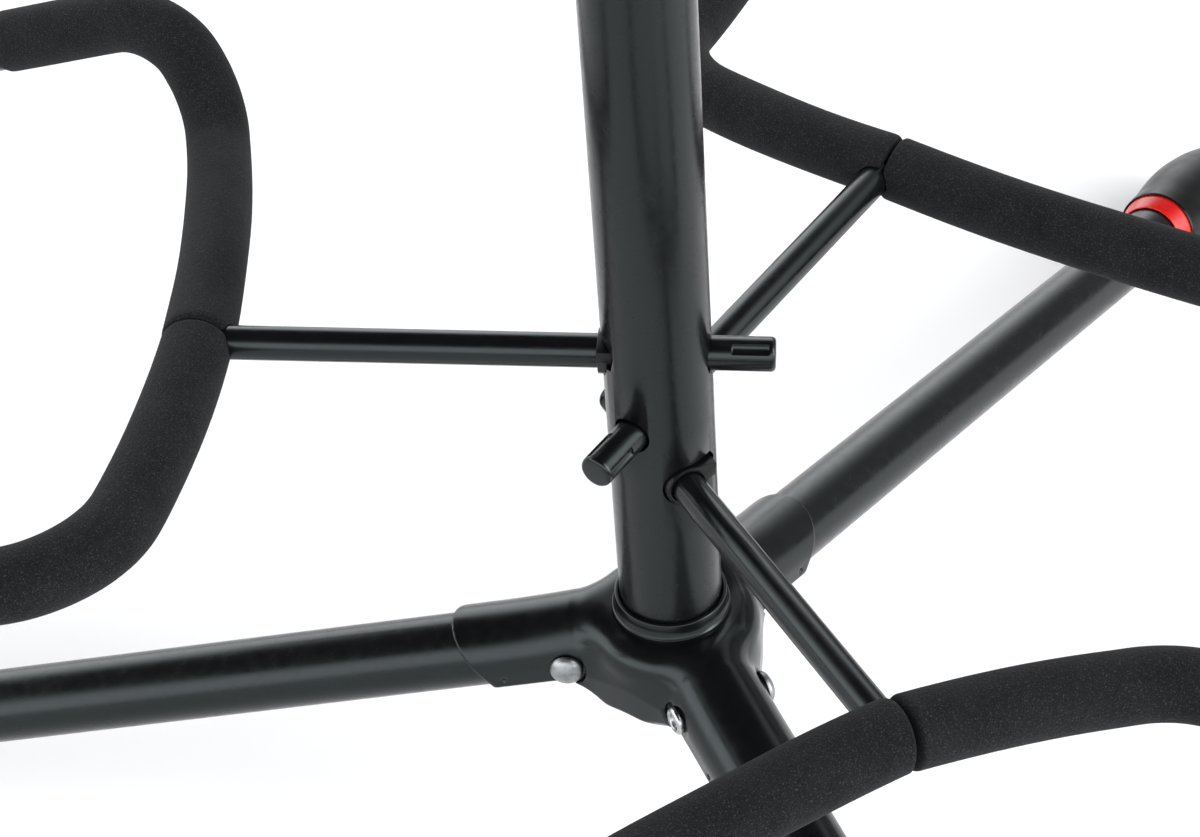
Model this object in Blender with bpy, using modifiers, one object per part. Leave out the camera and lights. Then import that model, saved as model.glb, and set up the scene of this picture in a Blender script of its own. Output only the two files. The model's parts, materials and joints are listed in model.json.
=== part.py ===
"""Tripod guitar rack: folding legs, a column, padded cradles and neck forks on a height-adjusting mast.

Units are metres, +Z is up and the floor is at z = 0.  Each leg, cradle and neck arm points away from
the column at its own azimuth; the frame's origin is on the floor, under the middle of the whole rack.
"""
import math

import bmesh
import bpy
from mathutils import Matrix, Vector

# ---- driving dimensions ----
COLUMN_XY = Vector((0.0, 0.0795, 0.0))     # foot of the column axis on the floor
LEG_AZIMUTHS = (150.0, 30.0, -90.0)        # degrees
COLUMN_TURN = 0.8                          # the column's small turn in the hub, degrees
GAP = 0.0003                               # clearance between pieces that touch

LEG_SLOPE = 11.0                           # the legs fall outwards, degrees
LEG_AXIS_Z = 0.0955                        # where the leg axes cross the column axis
LEG_RADIUS = 0.0121
LEG_WALL = 0.0015
LEG_PIVOT = 0.0333                         # along the leg axis from the column axis
LEG_END = 0.405
BOLT_RADIUS = 0.003

COLUMN_RADIUS = 0.016
COLUMN_WALL = 0.0016
COLUMN_BOTTOM = 0.0885
COLUMN_TOP = 0.556
HUB_TOP = 0.1115
HUB_BOTTOM = 0.0800                        # of the drum; the boss round the column ends higher
BOSS_BOTTOM = 0.0845
SHROUD_HALF_WIDTH = 0.0145
SHROUD_WALL = 0.0020
SHROUD_LENGTH = 0.0695                     # along the leg axis, at the shroud's top
SHROUD_DROP = 0.0052                       # how far the side walls reach below the leg axis

ROD_RADIUS = 0.0051
ROD_HEIGHTS = (0.2055, 0.1855, 0.1655)     # on the column axis, in the order of the legs
ROD_RISE = 1.6                             # degrees
ROD_STUB = 0.0345                          # past the column axis, on the far side
ROD_REACH = 0.1352                         # column axis to the middle of the padded bar
CRADLE_ROLL = (9.4, 12.0, 4.0)             # how far each cradle is rolled about its rod, degrees
BUSH_RADIUS = 0.0067
FOAM_RADIUS = 0.0106
FOAM_GAP = 0.0025                          # half of the gap between the two sleeves at the weld
CAP_DEPTH = 0.0065                         # how far a bar cap slips over the bar

MAST_RADIUS = 0.0127
MAST_WALL = 0.0013
MAST_BOTTOM = 0.375
MAST_TOP = 1.000
ARM_SOCKET_Z = 0.985
FORK_REACH = 0.118                         # column axis to the fork's bar
FORK_RADIUS = 0.0045
PAD_RADIUS = 0.0080

# Each side of a cradle bar is a run, a corner and an arm.  Headings turn from square to the rod (0)
# to pointing away from the column (90); rises are slopes out of the cradle's plane.  All in degrees.
SHORT_SIDE = {"run": 0.072, "headings": (0.0, 11.0, 82.5, 83.0), "corner_radius": 0.0363,
              "arm": 0.100, "rises": (-12.2, -7.8, 2.5)}
LONG_SIDE = {"run": 0.1207, "headings": (3.3, 12.6, 66.0, 72.0), "corner_radius": 0.040,
             "arm": 0.080, "rises": (4.6, 45.6, -17.7)}

ROUND = 24                                 # sides of a tube
SMALL_ROUND = 12                           # sides of a small round piece

COLORS = {
    "powder_black": ((0.012, 0.013, 0.014), 0.42, 0.0),
    "plastic_black": ((0.014, 0.014, 0.015), 0.5, 0.0),
    "foam": ((0.020, 0.021, 0.022), 0.95, 0.0),
    "rubber": ((0.015, 0.015, 0.015), 0.7, 0.0),
    "red_rubber": ((0.55, 0.015, 0.012), 0.45, 0.0),
    "zinc": ((0.45, 0.45, 0.46), 0.35, 1.0),
}


# ---- scene helpers ----
def clear_scene():
    for obj in list(bpy.data.objects):
        bpy.data.objects.remove(obj, do_unlink=True)


def new_collection(name):
    collection = bpy.data.collections.new(name)
    bpy.context.scene.collection.children.link(collection)
    return collection


def material(name):
    if name in bpy.data.materials:
        return bpy.data.materials[name]
    color, roughness, metallic = COLORS[name]
    mat = bpy.data.materials.new(name)
    mat.use_nodes = True
    shader = mat.node_tree.nodes["Principled BSDF"]
    shader.inputs["Base Color"].default_value = (*color, 1.0)
    shader.inputs["Roughness"].default_value = roughness
    shader.inputs["Metallic"].default_value = metallic
    return mat


def matrix_of(origin, x_axis, y_axis, z_axis):
    m = Matrix.Identity(4)
    for column, axis in enumerate((x_axis, y_axis, z_axis)):
        m.col[column][:3] = axis
    m.translation = origin
    return m


def bake(obj):
    """A mesh object with the object's modifiers and curve settings applied, welded, faces out."""
    bpy.context.view_layer.update()
    evaluated = obj.evaluated_get(bpy.context.evaluated_depsgraph_get())
    mesh = bpy.data.meshes.new_from_object(evaluated)
    bm = bmesh.new()
    bm.from_mesh(mesh)
    bmesh.ops.remove_doubles(bm, verts=bm.verts, dist=0.00002)
    bmesh.ops.dissolve_degenerate(bm, edges=bm.edges, dist=0.000005)
    bmesh.ops.recalc_face_normals(bm, faces=bm.faces)
    bm.to_mesh(mesh)
    bm.free()
    result = bpy.data.objects.new(obj.name + "_mesh", mesh)
    result.matrix_world = obj.matrix_world.copy()
    name = obj.name
    bpy.data.objects.remove(obj, do_unlink=True)
    result.name = name
    TOOLS.objects.link(result)
    hide(result)
    return result


def hide(obj):
    obj.hide_render = True
    obj.display_type = "WIRE"


def turned(name, profile, steps=ROUND, place=None):
    """A solid of revolution about local Z.  The profile is (radius, z) points down its outer side."""
    mesh = bpy.data.meshes.new(name)
    points = [(r, 0.0, z) for r, z in profile]
    closed = profile[0][0] > 0.0 or profile[-1][0] > 0.0
    edges = [(i, i + 1) for i in range(len(points) - 1)]
    if closed:
        edges.append((len(points) - 1, 0))
    mesh.from_pydata(points, edges, [])
    obj = bpy.data.objects.new(name, mesh)
    TOOLS.objects.link(obj)
    screw = obj.modifiers.new("turn", "SCREW")
    screw.axis = "Z"
    screw.angle = math.tau
    screw.steps = steps
    screw.render_steps = steps
    screw.use_merge_vertices = True
    screw.merge_threshold = 0.00001
    obj.matrix_world = place or Matrix.Identity(4)
    return bake(obj)


def prism(name, outline, depth, place):
    """A flat outline in the local XY plane, with its thickness centred on local Z."""
    curve = bpy.data.curves.new(name, "CURVE")
    curve.dimensions = "2D"
    curve.fill_mode = "BOTH"
    curve.extrude = depth / 2
    spline = curve.splines.new("POLY")
    spline.points.add(len(outline) - 1)
    for point, (x, y) in zip(spline.points, outline):
        point.co = (x, y, 0.0, 1.0)
    spline.use_cyclic_u = True
    obj = bpy.data.objects.new(name, curve)
    TOOLS.objects.link(obj)
    obj.matrix_world = place
    return bake(obj)


def swept(name, points, radius, resolution=2, twist="MINIMUM"):
    """A round bar along the points, with filled ends. Bars swept with the Z_UP twist along the same
    points have the same facets, whichever end they start from."""
    curve = bpy.data.curves.new(name, "CURVE")
    curve.dimensions = "3D"
    curve.bevel_depth = radius
    curve.bevel_resolution = resolution
    curve.use_fill_caps = True
    curve.twist_mode = twist
    spline = curve.splines.new("POLY")
    spline.points.add(len(points) - 1)
    for point, co in zip(spline.points, points):
        point.co = (*co, 1.0)
    obj = bpy.data.objects.new(name, curve)
    TOOLS.objects.link(obj)
    return bake(obj)


def cylinder(name, radius, start, end, steps=SMALL_ROUND):
    """A plain cylinder from one point to another."""
    axis = (end - start).normalized()
    side = axis.orthogonal().normalized()
    place = matrix_of(start, side, axis.cross(side), axis)
    length = (end - start).length
    return turned(name, ((0.0, length), (radius, length), (radius, 0.0), (0.0, 0.0)), steps, place)


def block(name, size, place):
    """A box centred on the placement's origin."""
    mesh = bpy.data.meshes.new(name)
    bm = bmesh.new()
    bmesh.ops.create_cube(bm, size=1.0)
    bmesh.ops.scale(bm, vec=size, verts=bm.verts)
    bm.to_mesh(mesh)
    bm.free()
    obj = bpy.data.objects.new(name, mesh)
    TOOLS.objects.link(obj)
    hide(obj)
    obj.matrix_world = place
    return obj


def combine(target, others, operation):
    """Applies one Boolean for each of the others to the target."""
    for other in others:
        modifier = target.modifiers.new("combine", "BOOLEAN")
        modifier.operation = operation
        modifier.solver = "EXACT"
        modifier.object = other
        target = bake(target)
        bpy.data.objects.remove(other, do_unlink=True)
    return target


def finish(obj, name, mat, origin=None):
    """Makes the object a node: its name, material, smooth shading and origin."""
    obj.name = name
    obj.data.name = name
    world = obj.matrix_world.copy()
    obj.data.transform(world)
    pivot = Vector(origin) if origin is not None else world.translation.copy()
    obj.data.transform(Matrix.Translation(-pivot))
    obj.matrix_world = Matrix.Translation(pivot)
    obj.data.materials.clear()
    obj.data.materials.append(material(mat))
    obj.data.shade_smooth()
    obj.data.set_sharp_from_angle(angle=math.radians(35))
    obj.hide_render = False
    obj.display_type = "TEXTURED"
    TOOLS.objects.unlink(obj)
    RACK.objects.link(obj)
    return obj


# ---- directions ----
def outward(azimuth, fall=0.0):
    a, s = math.radians(azimuth), math.radians(fall)
    return Vector((math.cos(a) * math.cos(s), math.sin(a) * math.cos(s), -math.sin(s)))


def sideways(azimuth):
    """Square to the azimuth, to the left of someone who looks outwards."""
    a = math.radians(azimuth)
    return Vector((-math.sin(a), math.cos(a), 0.0))


def on_axis(z):
    return COLUMN_XY + Vector((0.0, 0.0, z))


def leg_frame(azimuth):
    """The leg's crossing with the column axis, its direction, its side and its upper side."""
    along, side = outward(azimuth, LEG_SLOPE), sideways(azimuth)
    return on_axis(LEG_AXIS_Z), along, side, along.cross(side)


def arc(center, radius, start, end, count):
    """Points of an arc, in degrees, both ends included."""
    angles = [math.radians(start + (end - start) * i / (count - 1)) for i in range(count)]
    return [(center[0] + radius * math.cos(a), center[1] + radius * math.sin(a)) for a in angles]


# ---- hub and legs ----
def shroud_outline(half_width, drop):
    """An inverted U: a half round over the leg, then straight walls down past its axis."""
    return arc((0.0, 0.0), half_width, 0.0, 180.0, 11) + [(-half_width, -drop), (half_width, -drop)]


def hub_shell():
    """The turned middle of the hub, hollow from below, before its shrouds are added."""
    wall = 0.0028
    boss = COLUMN_RADIUS + GAP + wall
    outer = [(boss - 0.0008, HUB_TOP), (boss, HUB_TOP - 0.0008), (boss, 0.1056), (0.0225, 0.1046),
             (0.0256, 0.1026), (0.0274, 0.0995), (0.0280, 0.0960), (0.0280, HUB_BOTTOM)]
    inner = [(0.0254, HUB_BOTTOM), (0.0254, 0.0960), (0.0238, 0.1000), (boss, 0.1020),
             (boss, BOSS_BOTTOM), (COLUMN_RADIUS + GAP, BOSS_BOTTOM), (COLUMN_RADIUS + GAP, HUB_TOP)]
    return turned("hub", outer + inner, 32, Matrix.Translation(COLUMN_XY))


def make_hub():
    hub = hub_shell()
    inner_half = SHROUD_HALF_WIDTH - SHROUD_WALL
    start, end = 0.0190, SHROUD_LENGTH + 0.004
    for azimuth in LEG_AZIMUTHS:
        origin, along, side, up = leg_frame(azimuth)
        middle = origin + along * (start + end) / 2
        shroud = prism("shroud", shroud_outline(SHROUD_HALF_WIDTH, SHROUD_DROP), end - start,
                       matrix_of(middle, side, up, along))
        tilt = Matrix.Rotation(math.radians(30.0), 3, side)
        cut_axis, cut_up = tilt @ along, tilt @ up
        top_edge = origin + along * SHROUD_LENGTH + up * SHROUD_HALF_WIDTH
        trim = block("trim", (0.05, 0.08, 0.03),
                     matrix_of(top_edge + cut_axis * 0.015, side, cut_up, cut_axis))
        shroud = combine(shroud, [trim], "DIFFERENCE")
        hub = combine(hub, [shroud], "UNION")
    for azimuth in LEG_AZIMUTHS:
        origin, along, side, up = leg_frame(azimuth)
        pivot = origin + along * LEG_PIVOT
        hub = combine(hub, [channel_cutter(pivot, along, side, up, inner_half)], "DIFFERENCE")
        cuts = [cylinder("hole", BOLT_RADIUS + GAP, pivot - side * 0.03, pivot + side * 0.03)]
        for facing in (side, -side):
            cuts.append(cylinder("spot_face", 0.0064, pivot + facing * SHROUD_HALF_WIDTH,
                                 pivot + facing * 0.03, 16))
        hub = combine(hub, cuts, "DIFFERENCE")
    finish(hub, "hub_casting", "powder_black", on_axis(LEG_AXIS_Z))


def channel_cutter(pivot, along, side, up, half):
    """The leg's room in its shroud: round over the leg, domed over its pivot, open below."""
    length, depth = 0.07, 0.03
    body = prism("channel", shroud_outline(half, depth), length,
                 matrix_of(pivot + along * length / 2, side, up, along))
    dome = [(0.0, half)] + arc((0.0, 0.0), half, 72.0, 0.0, 5) + [(half, -depth), (0.0, -depth)]
    nose = turned("nose", dome, ROUND, matrix_of(pivot, along, side, up))
    return combine(body, [nose], "UNION")


def make_leg(number, azimuth):
    origin, along, side, up = leg_frame(azimuth)
    pivot = origin + along * LEG_PIVOT
    place = matrix_of(origin, side, up, along)
    inside = LEG_RADIUS - LEG_WALL
    bevel = math.degrees(math.acos(inside / LEG_RADIUS))
    inner_end = arc((0.0, LEG_PIVOT), LEG_RADIUS, 0.0, -bevel, 4)
    tube = turned("leg", [(LEG_RADIUS, LEG_END)] + inner_end + [(inside, LEG_END)], ROUND, place)
    hole = cylinder("hole", BOLT_RADIUS + GAP, pivot - side * 0.02, pivot + side * 0.02)
    tube = combine(tube, [hole], "DIFFERENCE")
    finish(tube, f"leg_tube_{number}", "powder_black", pivot)

    band = ((0.0134, 0.3520), (0.0152, 0.3575), (0.0158, 0.3630), (LEG_RADIUS + GAP, 0.3630),
            (LEG_RADIUS + GAP, 0.3520))
    finish(turned("band", band[::-1], ROUND, place), f"foot_band_{number}", "red_rubber", pivot)

    outer = [(0.0159, 0.3633), (0.0167, 0.3700), (0.0186, 0.3815), (0.0194, 0.3930), (0.0190, 0.4030),
             (0.0179, 0.4120), (0.0154, 0.4205), (0.0110, 0.4275), (0.0055, 0.4308), (0.0, 0.4316)]
    socket = [(0.0, LEG_END + GAP), (LEG_RADIUS + GAP, LEG_END + GAP), (LEG_RADIUS + GAP, 0.3633)]
    boot = turned("boot", outer[::-1] + socket[::-1], ROUND, place)
    under = pivot + along * (LEG_END - LEG_PIVOT)
    floor = block("floor", (0.2, 0.2, 0.04), Matrix.Translation((under.x, under.y, -0.02)))
    boot = combine(boot, [floor], "DIFFERENCE")
    finish(boot, f"rubber_foot_{number}", "rubber", pivot)

    make_pivot_bolt(number, pivot, side)


def make_pivot_bolt(number, pivot, side):
    """A domed bolt from one side wall of the shroud and its flanged nut in the other."""
    across = side.orthogonal().normalized()
    face = SHROUD_HALF_WIDTH + GAP
    tip = -0.0125
    bolt = ((0.0, face + 0.0032), (0.0028, face + 0.0028), (0.0046, face + 0.0016), (0.0053, face),
            (BOLT_RADIUS, face), (BOLT_RADIUS, tip), (0.0, tip))
    place = matrix_of(pivot, across, side.cross(across), side)
    finish(turned("bolt", bolt, SMALL_ROUND, place), f"pivot_bolt_{number}", "zinc", pivot)
    nut = ((0.0, face + 0.0006), (0.0022, face + 0.0006), (0.0025, face + 0.0017), (0.0045, face + 0.0012),
           (0.0045, face), (BOLT_RADIUS, face), (BOLT_RADIUS, -tip + GAP), (0.0, -tip + GAP))
    flipped = matrix_of(pivot, across, (-side).cross(across), -side)
    finish(turned("nut", nut, SMALL_ROUND, flipped), f"pivot_nut_{number}", "zinc", pivot)


# ---- column ----
def rod_frame(index):
    """A cradle rod's crossing with the column axis, its direction, its rolled side and its top."""
    azimuth = LEG_AZIMUTHS[index] + COLUMN_TURN
    along, side = outward(azimuth, -ROD_RISE), sideways(azimuth)
    roll = Matrix.Rotation(math.radians(CRADLE_ROLL[index]), 3, along)
    side = roll @ side
    return on_axis(ROD_HEIGHTS[index]), along, side, along.cross(side)


def make_column():
    inside = COLUMN_RADIUS - COLUMN_WALL
    tube = turned("column", ((COLUMN_RADIUS, COLUMN_TOP), (COLUMN_RADIUS, COLUMN_BOTTOM),
                             (inside, COLUMN_BOTTOM), (inside, COLUMN_TOP)), 32,
                  Matrix.Translation(COLUMN_XY))
    for index in range(len(ROD_HEIGHTS)):
        origin, along = rod_frame(index)[:2]
        arm_hole = cylinder("arm_hole", BUSH_RADIUS + GAP, origin, origin + along * 0.03, 20)
        stub_hole = cylinder("stub_hole", ROD_RADIUS + 0.0009, origin, origin - along * 0.03, 20)
        tube = combine(tube, [arm_hole, stub_hole], "DIFFERENCE")
    finish(tube, "lower_column", "powder_black", on_axis(COLUMN_BOTTOM))

    plug_radius = inside - GAP
    plug = ((plug_radius, 0.1085), (plug_radius, 0.0890), (0.0042, 0.0890), (0.0042, 0.1085))
    finish(turned("plug", plug, 24, Matrix.Translation(COLUMN_XY)), "column_plug", "zinc")
    make_hub_screw()


def make_hub_screw():
    """A hexagon screw with a wide flange, up through the hub's boss into the column's plug."""
    head_top = BOSS_BOTTOM - GAP
    flange_bottom, head_bottom = head_top - 0.0020, head_top - 0.0073
    head = turned("screw_head", ((0.0, flange_bottom + 0.0005), (0.0075, flange_bottom + 0.0005),
                                 (0.0075, head_bottom), (0.0, head_bottom)), 6,
                  Matrix.Translation(COLUMN_XY))
    flange = turned("flange", ((0.0, head_top), (0.0183, head_top), (0.0183, flange_bottom),
                               (0.0, flange_bottom)), 28, Matrix.Translation(COLUMN_XY))
    head = combine(head, [flange], "UNION")
    shank = cylinder("screw_shank", 0.0039, on_axis(head_top - 0.001), on_axis(0.1070))
    finish(combine(head, [shank], "UNION"), "hub_screw", "zinc")


# ---- cradles ----
def cradle_path(side, sign, start=0.0, trim=0.0):
    """Points along one side of a cradle bar, in the rod's frame: outward, sideways, up."""
    corner = math.radians(side["headings"][2] - side["headings"][1]) * side["corner_radius"]
    stops = (0.0, side["run"], side["run"] + corner, side["run"] + corner + side["arm"])
    rise_stops = (0.9 * stops[1], stops[1] + 0.25 * corner, stops[1] + 0.75 * corner, stops[2] + 0.025)
    low, mid, high = side["rises"]
    step = 0.0005
    line = [Vector((ROD_REACH, 0.0, 0.0))]
    for i in range(round(stops[3] / step)):
        travelled = (i + 0.5) * step
        heading = math.radians(between(travelled, stops, side["headings"]))
        rise = math.radians(between(travelled, rise_stops, (low, mid, mid, high)))
        line.append(line[-1] + step * Vector((math.sin(heading) * math.cos(rise),
                                              sign * math.cos(heading) * math.cos(rise), math.sin(rise))))
    stations, end = [start], stops[3] - trim
    while stations[-1] < end:
        bending = stops[1] - 0.012 < stations[-1] < stops[2] + 0.008
        stations.append(stations[-1] + (0.0105 if bending else 0.028))
    if end - stations[-2] < 0.008:
        stations.pop()
    stations[-1] = end
    return [line[round(s / step)] for s in stations]


def between(x, stops, values):
    """Straight-line reading of values at the stops, held level past both ends."""
    if x <= stops[0]:
        return values[0]
    for i in range(len(stops) - 1):
        if x <= stops[i + 1]:
            part = (x - stops[i]) / (stops[i + 1] - stops[i])
            return values[i] + (values[i + 1] - values[i]) * part
    return values[-1]


def make_cradle(index):
    number = index + 1
    origin, along, side, up = rod_frame(index)
    place = matrix_of(origin, along, side, up)

    def world(points):
        return [place @ p for p in points]

    end = ROD_REACH - ROD_RADIUS - GAP
    chamfer = 0.0012
    rod_place = matrix_of(origin, side, up, along)
    rod = turned("rod", ((0.0, end), (ROD_RADIUS, end), (ROD_RADIUS, chamfer - ROD_STUB),
                         (ROD_RADIUS - chamfer, -ROD_STUB), (0.0, -ROD_STUB)), 20, rod_place)
    for roll in (70.0, 160.0):
        a = math.radians(roll)
        offset = (side * math.cos(a) + up * math.sin(a)) * (ROD_RADIUS + 0.0007)
        middle = origin + offset
        groove = cylinder("groove", 0.0022, middle - along * 0.0216, middle - along * 0.0330, 12)
        rod = combine(rod, [groove], "DIFFERENCE")
    finish(rod, f"cradle_rod_{number}", "powder_black", origin)

    left, right = cradle_path(SHORT_SIDE, 1.0), cradle_path(LONG_SIDE, -1.0)
    bar = swept("bar", world(right[::-1] + left[1:]), ROD_RADIUS, twist="Z_UP")
    finish(bar, f"cradle_bar_{number}", "powder_black", origin)

    for label, spec, sign in (("short", SHORT_SIDE, 1.0), ("long", LONG_SIDE, -1.0)):
        make_foam(f"foam_{label}_{number}", spec, sign, place, world)
        make_bar_cap(f"bar_cap_{label}_{number}", cradle_path(spec, sign), place)

    bush = turned("bush", ((BUSH_RADIUS, 0.0172), (BUSH_RADIUS, 0.0118), (ROD_RADIUS + GAP, 0.0118),
                           (ROD_RADIUS + GAP, 0.0172)), 20, rod_place)
    finish(bush, f"rod_bush_{number}", "zinc", origin)


def make_foam(name, spec, sign, place, world):
    """A foam sleeve on one side of the bar, notched round the rod, up to the bar's cap."""
    path = cradle_path(spec, sign, FOAM_GAP, CAP_DEPTH + 0.0008)
    sleeve = swept("foam", world(path), FOAM_RADIUS, twist="Z_UP")
    hole = swept("core", world(cradle_path(spec, sign)), ROD_RADIUS + 1.5 * GAP, twist="Z_UP")
    rod = cylinder("rod_room", ROD_RADIUS + GAP, place @ Vector((0.10, 0.0, 0.0)),
                   place @ Vector((ROD_REACH, 0.0, 0.0)))
    sleeve = combine(sleeve, [hole, rod], "DIFFERENCE")
    finish(sleeve, name, "foam", place.translation)


def make_bar_cap(name, path, place):
    """A plastic cup with a rounded end, over the last stretch of the bar."""
    tip = place @ path[-1]
    axis = (tip - place @ path[-2]).normalized()
    across = axis.orthogonal().normalized()
    bore = ROD_RADIUS + GAP
    profile = ((0.0, 0.0036), (0.0045, 0.0031), (0.0080, 0.0014), (0.0094, -0.0015),
               (0.0094, -CAP_DEPTH), (bore, -CAP_DEPTH), (bore, GAP), (0.0, GAP))
    cup = turned("cap", profile, 14, matrix_of(tip, across, axis.cross(across), axis))
    finish(cup, name, "plastic_black", place.translation)


# ---- mast and neck forks ----
CLUTCH_BOTTOM, CLUTCH_TOP, KNOB_Z = 0.524, 0.584, 0.570
KNOB_AZIMUTH = -30.0


def make_clutch():
    out, column_bore, mast_bore = 0.0225, COLUMN_RADIUS + GAP, MAST_RADIUS + GAP
    profile = ((out - 0.0035, CLUTCH_TOP), (out - 0.001, CLUTCH_TOP - 0.0015), (out, CLUTCH_TOP - 0.005),
               (out, CLUTCH_BOTTOM + 0.010), (out - 0.0025, CLUTCH_BOTTOM + 0.002),
               (out - 0.0045, CLUTCH_BOTTOM), (column_bore, CLUTCH_BOTTOM), (column_bore, COLUMN_TOP + GAP),
               (mast_bore, COLUMN_TOP + GAP), (mast_bore, CLUTCH_TOP))
    collar = turned("clutch", profile, 28, Matrix.Translation(COLUMN_XY))
    out_dir = outward(KNOB_AZIMUTH)
    axis_point = on_axis(KNOB_Z)
    boss = cylinder("boss", 0.0095, axis_point + out_dir * 0.018, axis_point + out_dir * 0.0315, 16)
    collar = combine(collar, [boss], "UNION")
    bore = cylinder("bore", 0.0033, axis_point, axis_point + out_dir * 0.05)
    seat = block("seat", (0.012, 0.009, 0.012),
                 matrix_of(axis_point + out_dir * 0.0125, out_dir, sideways(KNOB_AZIMUTH), Vector((0, 0, 1))))
    collar = combine(collar, [bore, seat], "DIFFERENCE")
    finish(collar, "clutch_collar", "plastic_black", axis_point)

    place = matrix_of(axis_point, sideways(KNOB_AZIMUTH), Vector((0, 0, 1)), out_dir)
    shoe = block("shoe", (0.0084, 0.0114, 0.0022), place @ Matrix.Translation((0.0, 0.0, 0.0150)))
    mast = cylinder("mast_room", MAST_RADIUS + GAP, on_axis(0.5), on_axis(0.62), 32)
    finish(combine(shoe, [mast], "DIFFERENCE"), "clutch_shoe", "plastic_black", axis_point)

    screw_start = 0.0150 + 0.0011 + GAP
    screw = turned("screw", ((0.0, 0.0440), (0.0030, 0.0440), (0.0030, screw_start), (0.0, screw_start)),
                   SMALL_ROUND, place)
    finish(screw, "clamp_screw", "zinc", axis_point)
    finish(make_knob(place), "clamp_knob", "plastic_black", axis_point)


def make_knob(place):
    """A lobed knob over the screw's outer end."""
    lobes, inner, outer = 5, 0.0125, 0.0165
    outline = []
    for i in range(40):
        a = math.tau * i / 40
        r = inner + (outer - inner) * (0.5 + 0.5 * math.cos(lobes * a)) ** 0.7
        outline.append((r * math.cos(a), r * math.sin(a)))
    head = prism("knob", outline, 0.0120, place @ Matrix.Translation((0.0, 0.0, 0.0435)))
    neck = turned("neck", ((0.0085, 0.0400), (0.0072, 0.0320), (0.0, 0.0320), (0.0, 0.0400)), 16, place)
    knob = combine(head, [neck], "UNION")
    room = turned("screw_room", ((0.0, 0.0443), (0.0033, 0.0443), (0.0033, 0.0300), (0.0, 0.0300)),
                  SMALL_ROUND, place)
    return combine(knob, [room], "DIFFERENCE")


def make_mast():
    inside = MAST_RADIUS - MAST_WALL
    tube = turned("mast", ((MAST_RADIUS, MAST_TOP), (MAST_RADIUS, MAST_BOTTOM), (inside, MAST_BOTTOM),
                           (inside, MAST_TOP)), 28, Matrix.Translation(COLUMN_XY))
    finish(tube, "upper_mast", "powder_black", on_axis(MAST_BOTTOM))
    bush_radius = COLUMN_RADIUS - COLUMN_WALL - GAP
    low = MAST_BOTTOM - GAP
    bush = turned("bush", ((0.0, low + 0.014), (inside - GAP, low + 0.014), (inside - GAP, low),
                           (bush_radius, low), (bush_radius, low - 0.012), (0.0, low - 0.012)), 28,
                  Matrix.Translation(COLUMN_XY))
    finish(bush, "slide_bush", "plastic_black")


def make_head():
    bore = MAST_RADIUS + GAP
    low, high, out = ARM_SOCKET_Z - 0.022, MAST_TOP + 0.0040, 0.0195
    profile = ((out - 0.003, high), (out, high - 0.003), (out, low + 0.006), (out - 0.0025, low + 0.001),
               (out - 0.0040, low), (bore, low), (bore, high))
    head = turned("head", profile, 28, Matrix.Translation(COLUMN_XY))
    for azimuth in LEG_AZIMUTHS:
        a = azimuth + COLUMN_TURN
        boss = cylinder("boss", 0.0088, on_axis(ARM_SOCKET_Z) + outward(a) * 0.0165,
                        on_axis(ARM_SOCKET_Z) + outward(a) * 0.0300, 16)
        head = combine(head, [boss], "UNION")
    for azimuth in LEG_AZIMUTHS:
        a = azimuth + COLUMN_TURN
        socket = cylinder("socket", ROD_RADIUS + GAP, on_axis(ARM_SOCKET_Z) + outward(a) * 0.0142,
                          on_axis(ARM_SOCKET_Z) + outward(a) * 0.05, 12)
        head = combine(head, [socket], "DIFFERENCE")
    finish(head, "head_casting", "powder_black", on_axis(ARM_SOCKET_Z))

    cap = ((0.0, high + 0.0042), (0.0060, high + 0.0039), (0.0120, high + 0.0028), (0.0165, high + 0.0010),
           (0.0168, high + GAP), (bore - GAP, high + GAP), (bore - GAP, MAST_TOP + GAP),
           (0.0, MAST_TOP + GAP))
    finish(turned("cap", cap, 20, Matrix.Translation(COLUMN_XY)), "top_cap", "plastic_black")


def arm_path():
    """Side view of a neck arm: level out of the head, a rise, then level again: outward, up."""
    bend, rise, slope = 0.022, 0.016, 32.0
    points = [Vector((0.0145, 0.0, 0.0)), Vector((0.036, 0.0, 0.0))]
    a = math.radians(slope)
    for i in range(1, 5):
        t = a * i / 4
        points.append(Vector((0.036 + bend * math.sin(t), 0.0, bend * (1 - math.cos(t)))))
    run = rise / math.sin(a)
    points.append(points[-1] + Vector((math.cos(a) * run, 0.0, rise)))
    corner = points[-1] + Vector((bend * math.sin(a), 0.0, bend * (1 - math.cos(a))))
    for i in range(3, -1, -1):
        t = a * i / 4
        points.append(corner - Vector((bend * math.sin(t), 0.0, bend * (1 - math.cos(t)))))
    points.append(Vector((FORK_REACH - 0.0065, 0.0, corner.z)))
    return points


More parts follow.
